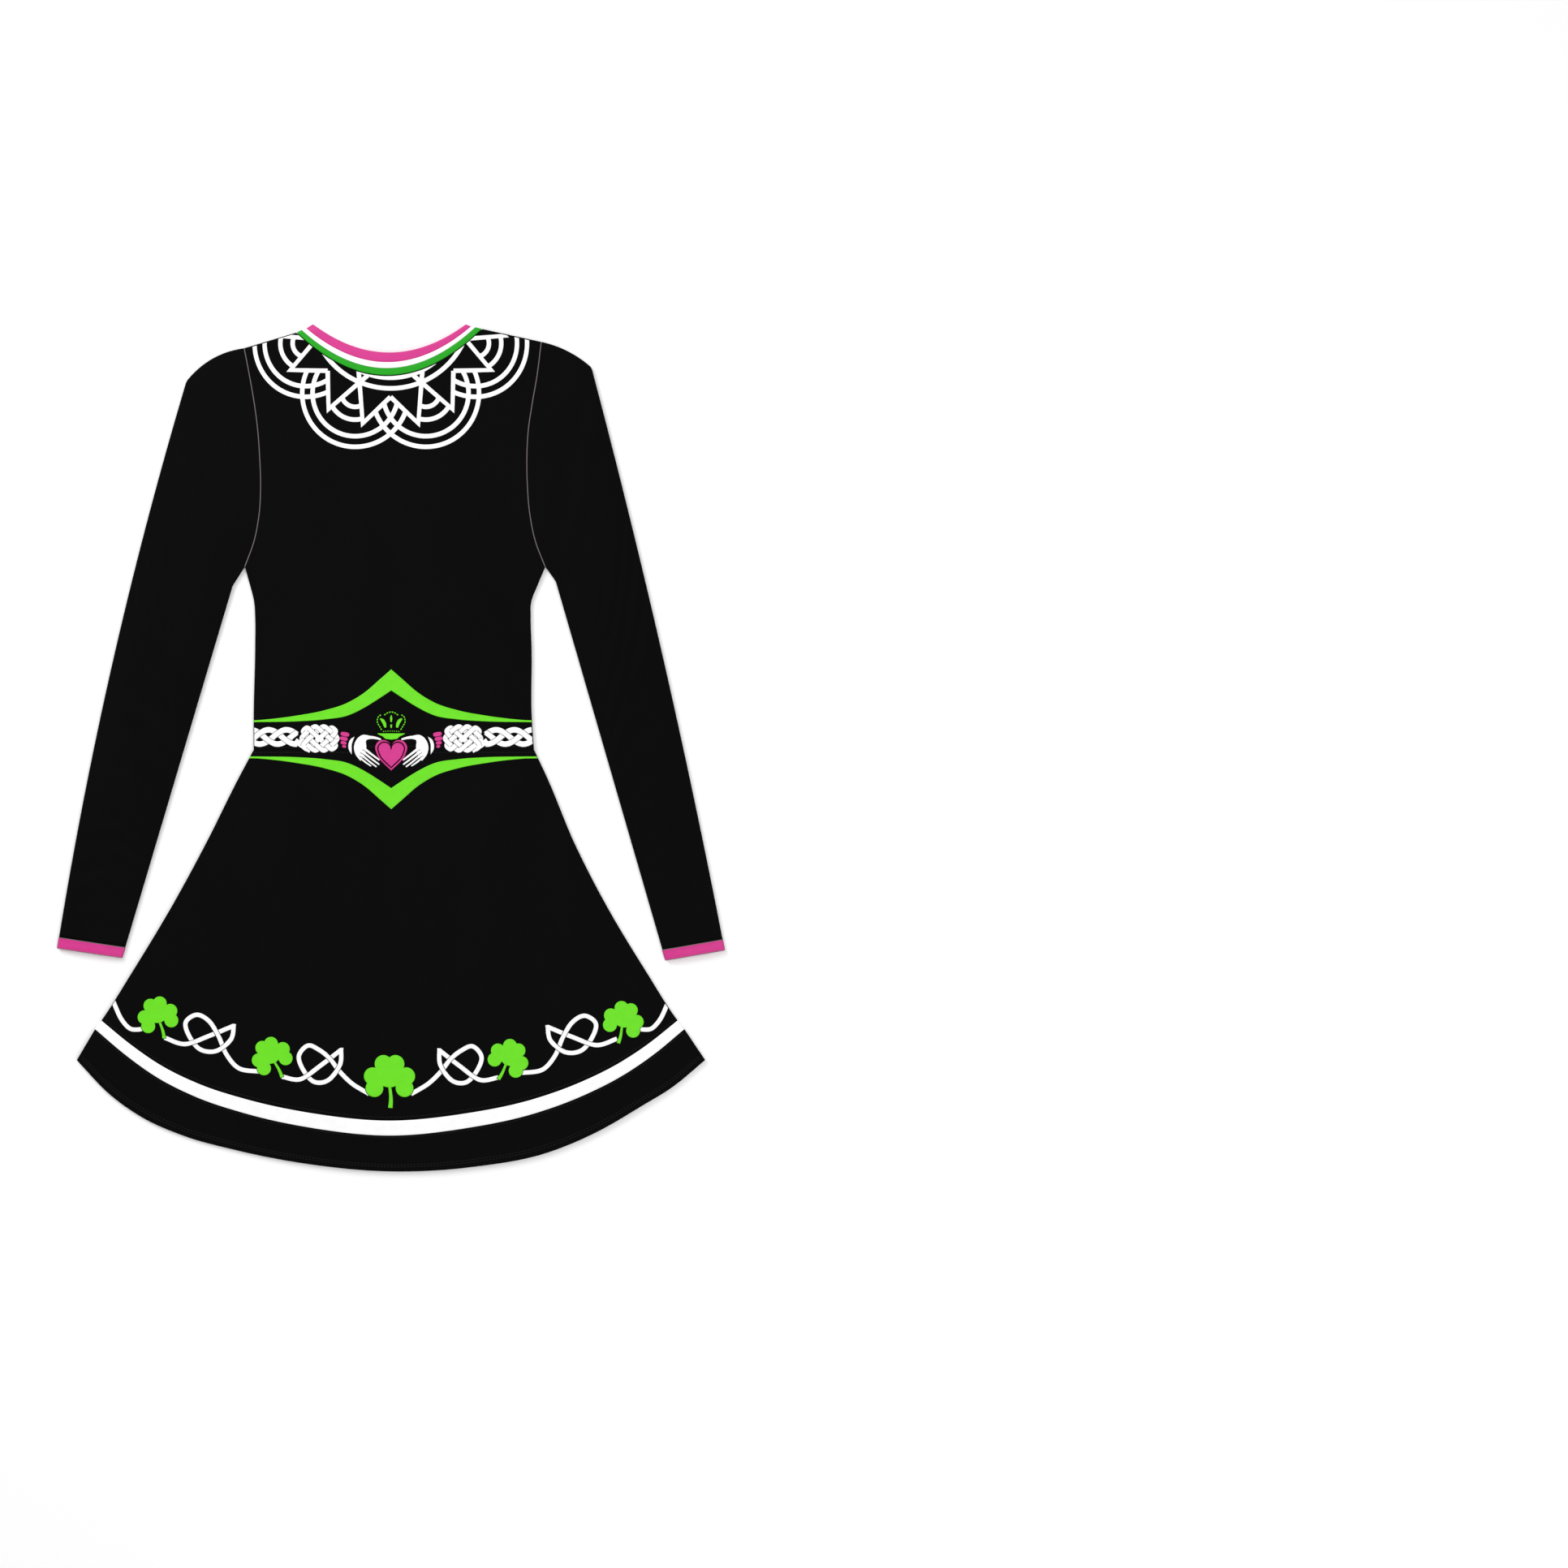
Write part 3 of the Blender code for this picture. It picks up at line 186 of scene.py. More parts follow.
# Braid and round knot of the belt, right side, measured from the belt's centre
PLAIT_SPAN = (-0.1455, -0.0975)
PLAIT_START = -0.1410
PLAIT_HEIGHT = 0.0112
PLAIT_SWING = 0.0074
PLAIT_PERIOD = 0.056
PLAIT_STROKE = 0.0058
PLAIT_GAP = 0.00035
KNOT_CENTRE = (-0.0742, 0.0096)
KNOT_SIZE = (0.0183, 0.0124)
KNOT_TURNS = (3, 4)
KNOT_BEND = 0.95  # how sharply its strand turns back at the knot's edges
KNOT_ROUNDING = 0.3  # how far its corners are drawn in
KNOT_STROKE = 0.0050
KNOT_GAP = 0.0003
KNOT_REACH = 0.5
LINK_START = 0.002  # how far inside the plait's end its link to the knot starts
LINK_BEND = (-0.093, 0.0030)
BELT_INSET = 0.0008
BELT_CLIP_Y = (-0.012, 0.034)
WEAVE_GAP = 0.0005  # dark line beside a strand that passes over another

# Clasped hands, heart and crown: sizes from the belt's centre line
HEART_TOP_Y = 0.0081
HEART_TIP_Y = -0.0236
HEART_HALF = 0.0166
HEART_FLANK = 0.72  # its half width halfway down, as a share
HEART_MIDDLE = 0.42  # share down the heart
HEART_ARC = (180.0, -20.0, 18)  # its shoulder: from angle, to angle, segments
HEART_LINE = (0.83, 0.0011)  # its inner line: size as a share, width
CROWN_BASE_Y = 0.0145
CROWN_HALF = 0.0150

# Shamrocks: x, y, width, tilt in degrees
SHAMROCKS = [
    (-0.2411, -0.2759, 0.046, 14.0),
    (-0.1239, -0.3179, 0.046, 25.0),
    (-0.0013, -0.3403, 0.058, 0.0),
    (0.1226, -0.3200, 0.046, -28.0),
    (0.2408, -0.2806, 0.046, -14.0),
]
SHAMROCK_WIDTH = 0.056
LEAF_ANGLES = [90.0, 188.0, -8.0]
LEAF_REACH = 0.0160
LEAF_SPREAD = 0.0060
LEAF_RADIUS = 0.0089
LEAF_FLANK = 0.7  # how far a leaf's flat middle reaches into its lobes, in radii
LEAF_ROOT = (0.0, -0.003)
LEAF_CORE = (0.0135, 0.0115)
LEAF_CORE_AT = (0.0, 0.001)
STEM = [(0.0, -0.008), (0.0012, -0.018), (0.0014, -0.024), (0.0008, -0.031)]
STEM_WIDTHS = (0.0028, 0.0046)
VINE_GAP = 0.0005

# Looped strand between two shamrocks, along and across its own length of 1
LOOP_START = [(0.0, 0.0), (0.2, 0.01), (0.4, 0.17), (0.6, 0.35)]
LOOP_BACK = [
    (0.6, 0.35), (0.62, 0.21), (0.52, 0.05), (0.36, 0.01), (0.21, 0.1), (0.13, 0.22),
    (0.21, 0.33), (0.35, 0.31),
]
# The loop's tail: along, across, and its share of the tail's lift
LOOP_TAIL = [(0.49, 0.2, 0.5), (0.63, 0.05, 1.0), (0.8, -0.04, 1.0), (1.0, 0.0, 0.0)]
# Each looped strand: start x, y, end x, y, height of its loops, lift of its tail
VINES = [
    (-0.2320, -0.3005, -0.1362, -0.3347, 1.0, 0.0),
    (-0.1110, -0.3404, -0.0238, -0.3571, 1.25, 0.1),
    (0.0225, -0.3571, 0.1095, -0.3412, 1.25, 0.1),
    (0.1360, -0.3360, 0.2320, -0.3015, 1.0, 0.0),
]
VINE_END = [(-0.2895, -0.2565), (-0.2855, -0.2660), (-0.2790, -0.2800), (-0.2705, -0.2898),
            (-0.2620, -0.2914), (-0.2530, -0.2895)]
VINE_END_INSET = 0.0008  # from the skirt's side edge
VINE_CLIP_Y = (-0.300, -0.250)  # the vine's ends lie between these heights
VINE_CLIP_X = 0.20  # and outside this
VINE_STROKE = 0.0046
VINE_REACH = 1.5  # how far an end runs on to meet its shamrock, in steps of the path

# Zip at the centre back
ZIP_SLOT = 0.0042
ZIP_BOTTOM_Y = 0.260
ZIP_TOP_Y = 0.4050
TAPE_OUTER = 0.0120
TAPE_LOW = 0.0019
TAPE_HIGH = 0.0026
TAPE_INNER = 0.0012
TAPE_ENDS = (0.008, 0.002)  # how far the tapes run past the teeth, below and above
TAPE_RIBS = (0.00006, 700)  # height of its woven ribs, and how close they lie
TOOTH_PITCH = 0.0015
TOOTH_X = (-0.0003, 0.0017)  # a tooth of the left row, from its tip to its root
TOOTH_Z = (0.0013, 0.0030)
TOOTH_SHARE = 0.45  # how much of the pitch a tooth takes up
STOP_HALF = 0.0019
STOP_LENGTH = 0.0026
TEETH_START = 0.003  # above the stop's lower end
SLIDER_LENGTH = 0.009
SLIDER_GAP = 0.0006
SLIDER_SOFT = 0.00012  # width of its softened edges
TOOTH_SOFT = 0.00015

# Camera and studio: the picture's page, seen from straight above
PAGE_CENTRE = (0.4066, -0.0374)
PAGE_WIDTH = 1.623
LENS = 85.0
SENSOR = 36.0
FLOOR_Z = -0.0006
FLOOR_SIZE = 9.0
FLOOR_WHITE = (0.985, 0.985, 0.985)
WORLD_LIGHT = 0.46
# Lights: name, place, size, power
LIGHTS = [
    ("key", (-1.6, 1.7, 1.5), 1.6, 50.0),
    ("fill", (1.9, -1.9, 1.8), 2.4, 34.0),
    ("top", (1.2, 0.5, 3.6), 2.6, 35.0),
]

BLACK = (0.0014, 0.0014, 0.0017)
WHITE = (0.93, 0.93, 0.93)
PINK = (0.612, 0.034, 0.245)
GREEN = (0.006, 0.340, 0.002)
LIME = (0.139, 0.700, 0.010)
GREY = (0.040, 0.041, 0.041)
SEAM_GREY = (0.150, 0.126, 0.123)
ENAMEL = (0.10, 0.10, 0.105)
THREAD_BLACK = (0.004, 0.004, 0.0045)


# Curves and tables

def lerp(a, b, share):
    return a + (b - a) * share


def across_rows(low, high, share):
    """Points between two rows of points, by a share for each."""
    return lerp(low, high, np.asarray(share)[..., None])


def smooth_step(value):
    value = np.clip(value, 0.0, 1.0)
    return value * value * (3.0 - 2.0 * value)


def read(rows, place, column):
    """A table's column at one or many places, on a smooth curve through its rows."""
    table = np.array(rows, float)
    places, values = table[:, 0], table[:, column]
    slopes = np.gradient(values, places)
    place = np.clip(place, places[0], places[-1])
    i = np.clip(np.searchsorted(places, place) - 1, 0, len(places) - 2)
    span = places[i + 1] - places[i]
    t = (place - places[i]) / span
    return (values[i] * (1 + 2 * t) * (1 - t) ** 2 + slopes[i] * span * t * (1 - t) ** 2
            + values[i + 1] * t * t * (3 - 2 * t) - slopes[i + 1] * span * t * t * (1 - t))


def points(x, y):
    return np.stack(np.broadcast_arrays(x, y), axis=-1)


def smooth_path(knots, steps):
    """Points on a smooth curve through a few given ones."""
    knots = [np.array(p, float) for p in knots]
    count = len(knots)
    path = []
    for i in range(count - 1):
        before, start, end, after = (knots[max(i - 1, 0)], knots[i], knots[i + 1],
                                     knots[min(i + 2, count - 1)])
        for step in range(steps):
            t = step / steps
            path.append(0.5 * (2 * start + (end - before) * t
                               + (2 * before - 5 * start + 4 * end - after) * t * t
                               + (3 * start - before - 3 * end + after) * t ** 3))
    path.append(knots[-1])
    return np.array(path)


def arc_path(centre, radius, start, end, segments):
    angles = np.radians(np.linspace(start, end, segments + 1))
    return points(centre[0] + radius * np.cos(angles), centre[1] + radius * np.sin(angles))


def turned(ring, angle, scale, place):
    """Points scaled, turned by an angle in degrees and moved to a place."""
    c, s = math.cos(math.radians(angle)), math.sin(math.radians(angle))
    ring = np.array(ring, float)
    return points(place[0] + scale * (c * ring[:, 0] - s * ring[:, 1]),
                  place[1] + scale * (s * ring[:, 0] + c * ring[:, 1]))


def oval(centre, size, angle=0.0, steps=28):
    turn = np.arange(steps) * 2 * math.pi / steps
    return turned(points(size[0] * np.cos(turn), size[1] * np.sin(turn)), angle, 1.0, centre)


def unit(vectors):
    return vectors / np.linalg.norm(vectors, axis=-1, keepdims=True)


def left_of(directions):
    """Each direction turned a quarter to the left."""
    return points(-directions[..., 1], directions[..., 0])


def run_of(path):
    """How far along a path each of its points lies."""
    return np.concatenate([[0.0], np.cumsum(np.linalg.norm(np.diff(path, axis=0), axis=1))])


def at_run(path, run, place):
    return np.array([np.interp(place, run, path[:, axis]) for axis in range(path.shape[1])])


MITRE_LIMIT = 0.5  # keeps a sharp bend's corner from running out far


def strand(path, widths):
    """Triangles of a flat strand along a path; widths is one width or one for each point."""
    path = np.array(path, float)
    steps = unit(np.diff(path, axis=0))
    ahead = np.vstack([steps, steps[-1:]])
    along = unit(np.vstack([steps[:1], steps]) + ahead)
    stretch = 1.0 / np.maximum((along * ahead).sum(axis=1), MITRE_LIMIT)
    offset = left_of(along) * (np.broadcast_to(widths, len(path)) / 2 * stretch)[:, None]
    low, high = path - offset, path + offset
    triangles = []
    for i in range(len(path) - 1):
        triangles.append(np.array([low[i], low[i + 1], high[i + 1]]))
        triangles.append(np.array([low[i], high[i + 1], high[i]]))
    return triangles


def mirrored(outlines):
    return [points(2 * BELT_X - ring[:, 0], ring[:, 1]) for ring in outlines]


# Outline of the dress, as in the part

def side_x(y, side):
    column = COLUMN[side]
    return np.where(np.less(y, WAIST_Y), read(SKIRT_SIDES, y, column),
                    np.where(np.less(y, UNDERARM_Y), read(BODICE_SIDES, y, column),
                             read(ARMHOLES, y, column)))


def neck_point(line, share):
    x_right, y_right, x_left, y_left, y_middle = NECK_LINES[line]
    sag = (y_right + y_left) / 2 - y_middle
    return points(lerp(x_right, x_left, share),
                  lerp(y_right, y_left, share) - sag * (1 - (2 * share - 1) ** 2))


def shoulder_y(x):
    """Height of the shoulder line, carried on across the neck."""
    heights = []
    for side, share in (("right", 0.0), ("left", 1.0)):
        edge = side_x(SHOULDER_Y[side], side)
        neck = neck_point(3, share)
        slope = (neck[1] - SHOULDER_Y[side]) / (neck[0] - edge)
        heights.append(SHOULDER_Y[side] + slope * (x - edge))
    return np.where(np.less(x, 0.0), heights[0], heights[1])


def loft_profile(across):
    """Height of a lofted cloth, from 1 in its middle to 0 at its sides."""
    return (1 - across ** 4) ** 2


def front_height(x, y):
    """Underside of the front panel's solid."""
    right, left = side_x(y, "right"), side_x(y, "left")
    across = np.minimum(np.abs((2 * x - right - left) / (left - right)), 1.0)
    down = np.clip((WAIST_Y - y) / (WAIST_Y - HEM_Y), 0.0, 1.0)
    loft = BODY_LOFT * loft_profile(across) * lerp(1.0, HEM_LOFT_SHARE, smooth_step(down))
    return FRONT_BASE + loft * smooth_step((shoulder_y(x) - y) / SHOULDER_FADE)


def skirt_point(y, sag, column, share):
    x = lerp(side_x(y, "right"), side_x(y, "left"), share)
    return points(x, y - sag * read(SAG_PROFILE, share, column))


def skirt_panel_point(u, v):
    y, sag, column = STRIPE_TOP
    return skirt_point(lerp(y, WAIST_Y, v), sag * (1 - v) ** SAG_POWER, column, u)


def strip_point(low, high, u, v):
    """A point of a strip between two lines across the skirt."""
    return across_rows(skirt_point(*low, u), skirt_point(*high, u), v)


hem_stripe_point = partial(strip_point, STRIPE_BOTTOM, STRIPE_TOP)
hem_border_point = partial(strip_point, HEM, STRIPE_BOTTOM)


def bodice_top(x):
    """The bodice's top edge: shoulder line, outer neck line, shoulder line."""
    start, end = neck_point(3, 0.0), neck_point(3, 1.0)
    share = np.clip((x - start[0]) / (end[0] - start[0]), 0.0, 1.0)
    in_neck = (x > start[0]) & (x < end[0])
    return np.where(in_neck, neck_point(3, share)[..., 1], shoulder_y(x))


def bodice_point(u, v):
    share = np.interp(u, *zip(*COLUMN_SPREAD))
    low = lerp(WAIST_Y, UNDERARM_Y, v / UNDERARM_SHARE_UP)
    up = (v - UNDERARM_SHARE_UP) / (1 - UNDERARM_SHARE_UP)
    y, x, top_x = {}, {}, {}
    for side, shoulder in SHOULDER_Y.items():
        y[side] = np.where(up < 0, low, lerp(UNDERARM_Y, shoulder, up))
        x[side] = side_x(y[side], side)
        top_x[side] = side_x(shoulder, side)
    ends = ("right", "left")
    x, y, top_x, top = (lerp(*(table[side] for side in ends), share)
                        for table in (x, y, top_x, SHOULDER_Y))
    bend = smooth_step((v - BEND_START) / (1 - BEND_START))
    return points(x, y + bend * (bodice_top(top_x) - top))


# Soft waves and the outer face of the cloth

def round_edge(distance, radius):
    """0 at an edge, 1 from the radius inwards, on a quarter circle."""
    t = np.clip(distance / radius, 0.0, 1.0)
    return np.sqrt(np.maximum(1 - (1 - t) ** 2, 0.0))


def groove(distance):
    """How far a face dips beside a seam."""
    return GROOVE_DEPTH * (1 - round_edge(distance, GROOVE_WIDTH))


WAVE_FADE = 0.03  # how far from the side edges the folds are at full height
SKIRT_APEX_Y = 0.20  # where the skirt's folds would meet
FLARE_FADE = 0.16  # how far below the waist they are at full height
DRAG_FADE = 0.05  # the same above the waist
DRAG_END_Y = 0.36
DRAG_END_FADE = 0.08
# Flare folds of the skirt: folds per radian, phase, height
FLARE_WAVES = [(9.0, 0.4, 0.00034), (15.0, 2.1, 0.00024), (23.0, 4.4, 0.00013)]
# Drag folds of the bodice: waves per metre across and up, phase, height
DRAG_WAVES = [(9.0, 5.0, 0.7, 0.00022), (-7.0, 8.0, 2.6, 0.0002), (3.0, 15.0, 4.0, 0.00012)]
# How the folds wander: by how much, and how fast round, down or across
FLARE_WANDER = (0.6, 3, 9)
DRAG_WANDER = (1.2, 21)


def body_waves(x, y):
    """Soft folds of the front, fading to the side edges and the shoulders."""
    right, left = side_x(y, "right"), side_x(y, "left")
    room = smooth_step(np.minimum(x - right, left - x) / WAVE_FADE)
    angle = np.arctan2(x, SKIRT_APEX_Y - y)
    amount, round_rate, down_rate = FLARE_WANDER
    wander = amount * np.sin(round_rate * angle + down_rate * y)
    flare = sum(h * np.sin(k * angle + p + wander) for k, p, h in FLARE_WAVES)
    low = smooth_step((WAIST_Y - y) / FLARE_FADE)
    wander = DRAG_WANDER[0] * np.sin(DRAG_WANDER[1] * x)
    drag = sum(h * np.sin(2 * math.pi * (kx * np.abs(x) + ky * y) + p + wander)
               for kx, ky, p, h in DRAG_WAVES)
    high = smooth_step((y - WAIST_Y) / DRAG_FADE) * smooth_step((DRAG_END_Y - y) / DRAG_END_FADE)
    return room * (low * flare + high * drag)


def folded(x, y, face, edge):
    """A face's height, brought to its edge's height at the side folds and the shoulders."""
    side = np.minimum(x - side_x(y, "right"), side_x(y, "left") - x)
    at_side = lerp(round_edge(side, FOLD_RADIUS), 1.0, smooth_step((y - UNDERARM_Y) / FOLD_FADE))
    at_shoulder = round_edge(shoulder_y(x) - y, FOLD_RADIUS)
    return edge + (face - edge) * at_side * at_shoulder


def front_top(x, y):
    """Outer face of the front, rounded down to the folds, where its inner face meets the back's."""
    return folded(x, y, front_height(x, y) + CLOTH + body_waves(x, y), MID + SKIN)


def back_face(x, y):
    """Outer face of the back, just above the surface, rounded up to the folds."""
    return folded(x, y, BACK_SKIN, MID - SKIN)


# Making pieces

SAME_POINT = 1e-6


def add_piece(name, verts, faces, slot, replaces=(), smooth=True, weld=None):
    """A new piece from points and faces; weld joins points that lie nearer than it."""
    mesh = bpy.data.meshes.new(name)
    mesh.from_pydata(np.asarray(verts).tolist(), [], faces)
    if weld:
        bm = bmesh.new()
        bm.from_mesh(mesh)
        bmesh.ops.remove_doubles(bm, verts=bm.verts, dist=weld)
        loose = [vert for vert in bm.verts if not vert.link_faces]
        bmesh.ops.delete(bm, geom=loose, context="VERTS")
        bm.to_mesh(mesh)
        bm.free()
    mesh.update()
    mesh.materials.append(MATERIALS[slot])
    mesh.polygons.foreach_set("use_smooth", [smooth] * len(mesh.polygons))
    obj = bpy.data.objects.new(name, mesh)
    bpy.context.scene.collection.objects.link(obj)
    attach(obj, "root")
    if replaces:
        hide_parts(*replaces)
    return obj


def grid_faces(rows, columns, flip, closed=False):
    """Quads of a grid of points; closed joins its last column to its first."""
    faces = []
    for r in range(rows - 1):
        for c in range(columns if closed else columns - 1):
            d = (c + 1) % columns
            face = (r * columns + c, r * columns + d, (r + 1) * columns + d, (r + 1) * columns + c)
            faces.append(tuple(reversed(face)) if flip else face)
    return faces


def skin(name, plan, heights, slot, flip=False, closed=False, slit=None, wall=SKIN):
    """A cloth skin over rows of points, inwards of its outer face.

    The solid that it stands for has its name without the last word. slit marks the points that
    lie on an open slit's edges or between them."""
    faces = grid_faces(*heights.shape, flip, closed)
    if slit is not None:
        faces = [face for face in faces if not all(slit.flat[i] for i in face)]
    obj = add_piece(name, np.dstack([plan, heights]).reshape(-1, 3), faces, slot,
                    [name.rsplit("_", 1)[0]], weld=None if slit is None else SAME_POINT)
    thickness = obj.modifiers.new("wall", "SOLIDIFY")
    thickness.thickness = wall
    thickness.offset = -1.0


def spread(width, inner):
    """Shares across a width, close together at both edges, with some in between."""
    insets = EDGE_INSETS / width
    return np.concatenate([insets, np.linspace(insets[-1], 1 - insets[-1], inner)[1:-1],
                           1 - insets[::-1]])


def panel(name, place, columns, rows, slot, face, size, grooves=(1, 1), part=None):
    """A flat panel between two seams, with the outer face of the front or of the back.

    size is its width and height, for the edges' insets. part opens a slit in it."""
    across, up = np.meshgrid(spread(size[0], columns), spread(size[1], rows))
    plan = place(across, up)
    plan, slit = part(plan) if part else (plan, None)
    dip = sum(side * groove(distance * size[1])
              for side, distance in zip(grooves, (up, 1 - up)))
    flip = face is back_face
    heights = face(plan[..., 0], plan[..., 1]) + (dip if flip else -dip)
    skin(name, plan, heights, slot, flip, slit=slit)


def ring_area(ring):
    """An outline's area, below 0 where it runs clockwise."""
    x, y = ring[:, 0], ring[:, 1]
    return (x * np.roll(y, -1) - np.roll(x, -1) * y).sum() / 2


def solid_rings(rings):
    """Those outlines that aren't slivers, which upset a triangulation."""
    return [ring for ring in rings if abs(ring_area(ring)) > SLIVER * np.ptp(ring, axis=0).max()]


def covered(outlines, clip, holes, epsilon):
    """Triangles of all that some outlines cover, with points nearer than epsilon made one."""
    rings = outlines + ([clip] if clip is not None else []) + holes
    flat, faces = [], []
    for ring in rings:
        faces.append(list(range(len(flat), len(flat) + len(ring))))
        flat.extend(ring if ring_area(ring) > 0 else ring[::-1])
    verts, _, triangles, _, _, sources = delaunay_2d_cdt([Vector(p) for p in flat], [], faces,
                                                         0, epsilon, True)
    clip_id = len(outlines)
    first_hole = clip_id + (0 if clip is None else 1)
    kept = []
    for triangle, source in zip(triangles, sources):
        inside = any(i < clip_id for i in source) and (clip is None or clip_id in source)
        if inside and not any(i >= first_hole for i in source):
            kept.append(triangle)
    return np.array([tuple(v) for v in verts]), kept


def triangle_area(verts, triangles):
    return sum(ring_area(verts[list(triangle)]) for triangle in triangles)


# Edges that nearly touch can upset a triangulation, at one of these distances or another
EPSILONS = (1e-7, 3e-7, 2e-6, 1e-5)
SLIVER = 0.00001  # a ring is dropped where it is thinner than this
# What a sound union covers, as shares of its outlines' areas
LEAST_COVER, MOST_COVER = 0.15, 1.02


def merged(outlines, clip=None, holes=()):
    """The union of some outlines inside a clip and outside holes."""
    outlines, holes = solid_rings(outlines), solid_rings(holes)
    whole = sum(abs(ring_area(ring)) for ring in outlines)
    for epsilon in EPSILONS:
        verts, triangles = covered(outlines, clip, holes, epsilon)
        if LEAST_COVER * whole < triangle_area(verts, triangles) < MOST_COVER * whole:
            return verts, triangles
    raise ValueError("the shape can't be triangulated")


def rim_edges(triangles):
    """Edges that only one triangle has, in its own direction."""
    seen = {}
    for a, b, c in triangles:
        for edge in ((a, b), (b, c), (c, a)):
            key = tuple(sorted(edge))
            seen[key] = None if key in seen else edge
    return [edge for edge in seen.values() if edge]


SPOTS_AT_ONCE = 1000


def enclosed(spots, starts, ends):
    """Which spots the rim goes round: an odd number of its edges lie to their right."""
    rise = ends[:, 1] - starts[:, 1]
    slope = (ends[:, 0] - starts[:, 0]) / np.where(rise == 0, 1.0, rise)
    found = []
    for block in np.array_split(spots, 1 + len(spots) // SPOTS_AT_ONCE):
        y = block[:, 1:]
        spans = (starts[:, 1] > y) != (ends[:, 1] > y)
        x = starts[:, 0] + (y - starts[:, 1]) * slope
        found.append((spans & (x > block[:, :1])).sum(axis=1) % 2 == 1)
    return np.concatenate(found)


RIM_SAMPLE = 0.0005
RIM_STEP = 0.0014  # how far apart an outline's points are
FINE_STEP = 0.0008  # the same on narrow ornament
# Section of an embroidered edge: distance from the rim, share of the full rise
EDGE_SECTION = [(0.0, 0.0), (0.00015, 0.50), (0.0004, 0.88), (0.00065, 1.0), (0.0009, 0.90),
                (0.0012, 0.68), (0.0017, 0.74), (0.0026, 0.80)]
EDGE_RINGS = [0.00018, 0.0005, 0.0010, 0.0016]
FILL_GRID = 0.004
SINK = 0.00008  # how far an ornament's rim lies in the cloth
TINY = 1e-9
NEAREST_RIM = 0.8  # how near the rim an inner point may lie, in first rings


def along_rim(union, edges, step):
    """The rim's points and the links between them, close samples of it, and rings inside it."""
    flat, links, samples, rings = list(union), [], [], []
    for a, b in edges:
        start, end = union[a], union[b]
        length = float(np.linalg.norm(end - start))
        count = max(1, round(length / step))
        chain = [a, *range(len(flat), len(flat) + count - 1), b]
        links += zip(chain, chain[1:])
        flat += [lerp(start, end, k / count) for k in range(1, count)]
        fine = max(1, int(length / RIM_SAMPLE))
        samples += [lerp(start, end, k / fine) for k in range(fine)]
        inward = left_of(end - start) / max(length, TINY)
        for k in range(count):
            spot = lerp(start, end, (k + 0.5) / count)
            rings += [spot + inward * d for d in EDGE_RINGS]
    return flat, links, samples, rings


def cut(outlines, clip=None, holes=(), step=RIM_STEP):
    """An ornament's flat shape: points, triangles and each point's distance from the rim."""
    union, pieces = merged(outlines, clip, holes)
    edges = rim_edges(pieces)
    flat, links, samples, inner = along_rim(union, edges, step)
    tree = kdtree.KDTree(len(samples))
    for i, point in enumerate(samples):
        tree.insert((*point, 0.0), i)
    tree.balance()
    low, high = union.min(axis=0), union.max(axis=0)
    for gx in np.arange(low[0], high[0], FILL_GRID):
        inner += [np.array([gx, gy]) for gy in np.arange(low[1], high[1], FILL_GRID)]
    flat += [p for p in inner if tree.find((*p, 0.0))[2] > NEAREST_RIM * EDGE_RINGS[0]]
    verts, _, triangles, sources, _, _ = delaunay_2d_cdt([Vector(p) for p in flat], links, [],
                                                         0, EPSILONS[0], True)
    verts = np.array([tuple(v) for v in verts])
    triangles = np.array(triangles)
    starts, ends = (union[[edge[end] for edge in edges]] for end in (0, 1))
    triangles = triangles[enclosed(verts[triangles].mean(axis=1), starts, ends)]
    on_rim = {i for link in links for i in link}
    distance = np.array([0.0 if on_rim & set(source) else tree.find((*p, 0.0))[2]
                         for p, source in zip(verts, sources)])
    used, triangles = np.unique(triangles, return_inverse=True)
    return verts[used], triangles.reshape(-1, 3), distance[used]


def flipped(shape):
    """The same shape on the dress's other side."""
    verts, triangles, distance = shape
    return mirrored([verts])[0], triangles[:, ::-1], distance


def applique(name, shape, slot, replaces=(), lifts=(), back=False, rise=APPLIQUE_RISE):
    """Embroidered ornament on the front's face, or set flush into the back's."""
    verts, triangles, distance = shape
    x, y = verts[:, 0], verts[:, 1]
    shares = np.interp(distance, *zip(*EDGE_SECTION))
    if back:
        heights = back_face(x, y) + SINK - (BACK_RISE + SINK) * shares
        triangles = triangles[:, ::-1]
    else:
        heights = front_top(x, y) - SINK + (rise + weave_lift(verts, lifts)) * shares
    add_piece(name, np.column_stack([verts, heights]), triangles.tolist(), slot, replaces)


LIFT_REACH = 1.5  # how far a lift reaches from its crossing, in widths of the strand


def weave_lift(verts, lifts):
    """How much higher a strand runs where it passes over another."""
    lift = np.zeros(len(verts))
    for centre, over, width in lifts:
        far = np.linalg.norm(verts - centre, axis=1)
        near = np.clip(1 - (far / (LIFT_REACH * width)) ** 2, 0.0, 1.0) ** 2
        gap = np.linalg.norm(verts[:, None] - over[None], axis=2).min(axis=1)
        lift = np.maximum(lift, np.where(gap < width / 2, WEAVE_LIFT * near, 0.0))
    return lift


TUBE_SIDES = 8


def swept(path, radii, sides, flat=1.0):
    """Rings of points round a path in space, and the faces between them."""
    along = unit(np.gradient(path, axis=0))
    side = unit(np.cross(along, (0.0, 0.0, 1.0)))
    up = np.cross(side, along)
    turn = (np.arange(sides) * 2 * math.pi / sides)[None, :, None]
    radii = np.broadcast_to(radii, len(path))[:, None, None]
    rings = path[:, None] + radii * (np.cos(turn) * side[:, None]
                                     + flat * np.sin(turn) * up[:, None])
    return rings.reshape(-1, 3), grid_faces(len(path), sides, flip=False, closed=True)


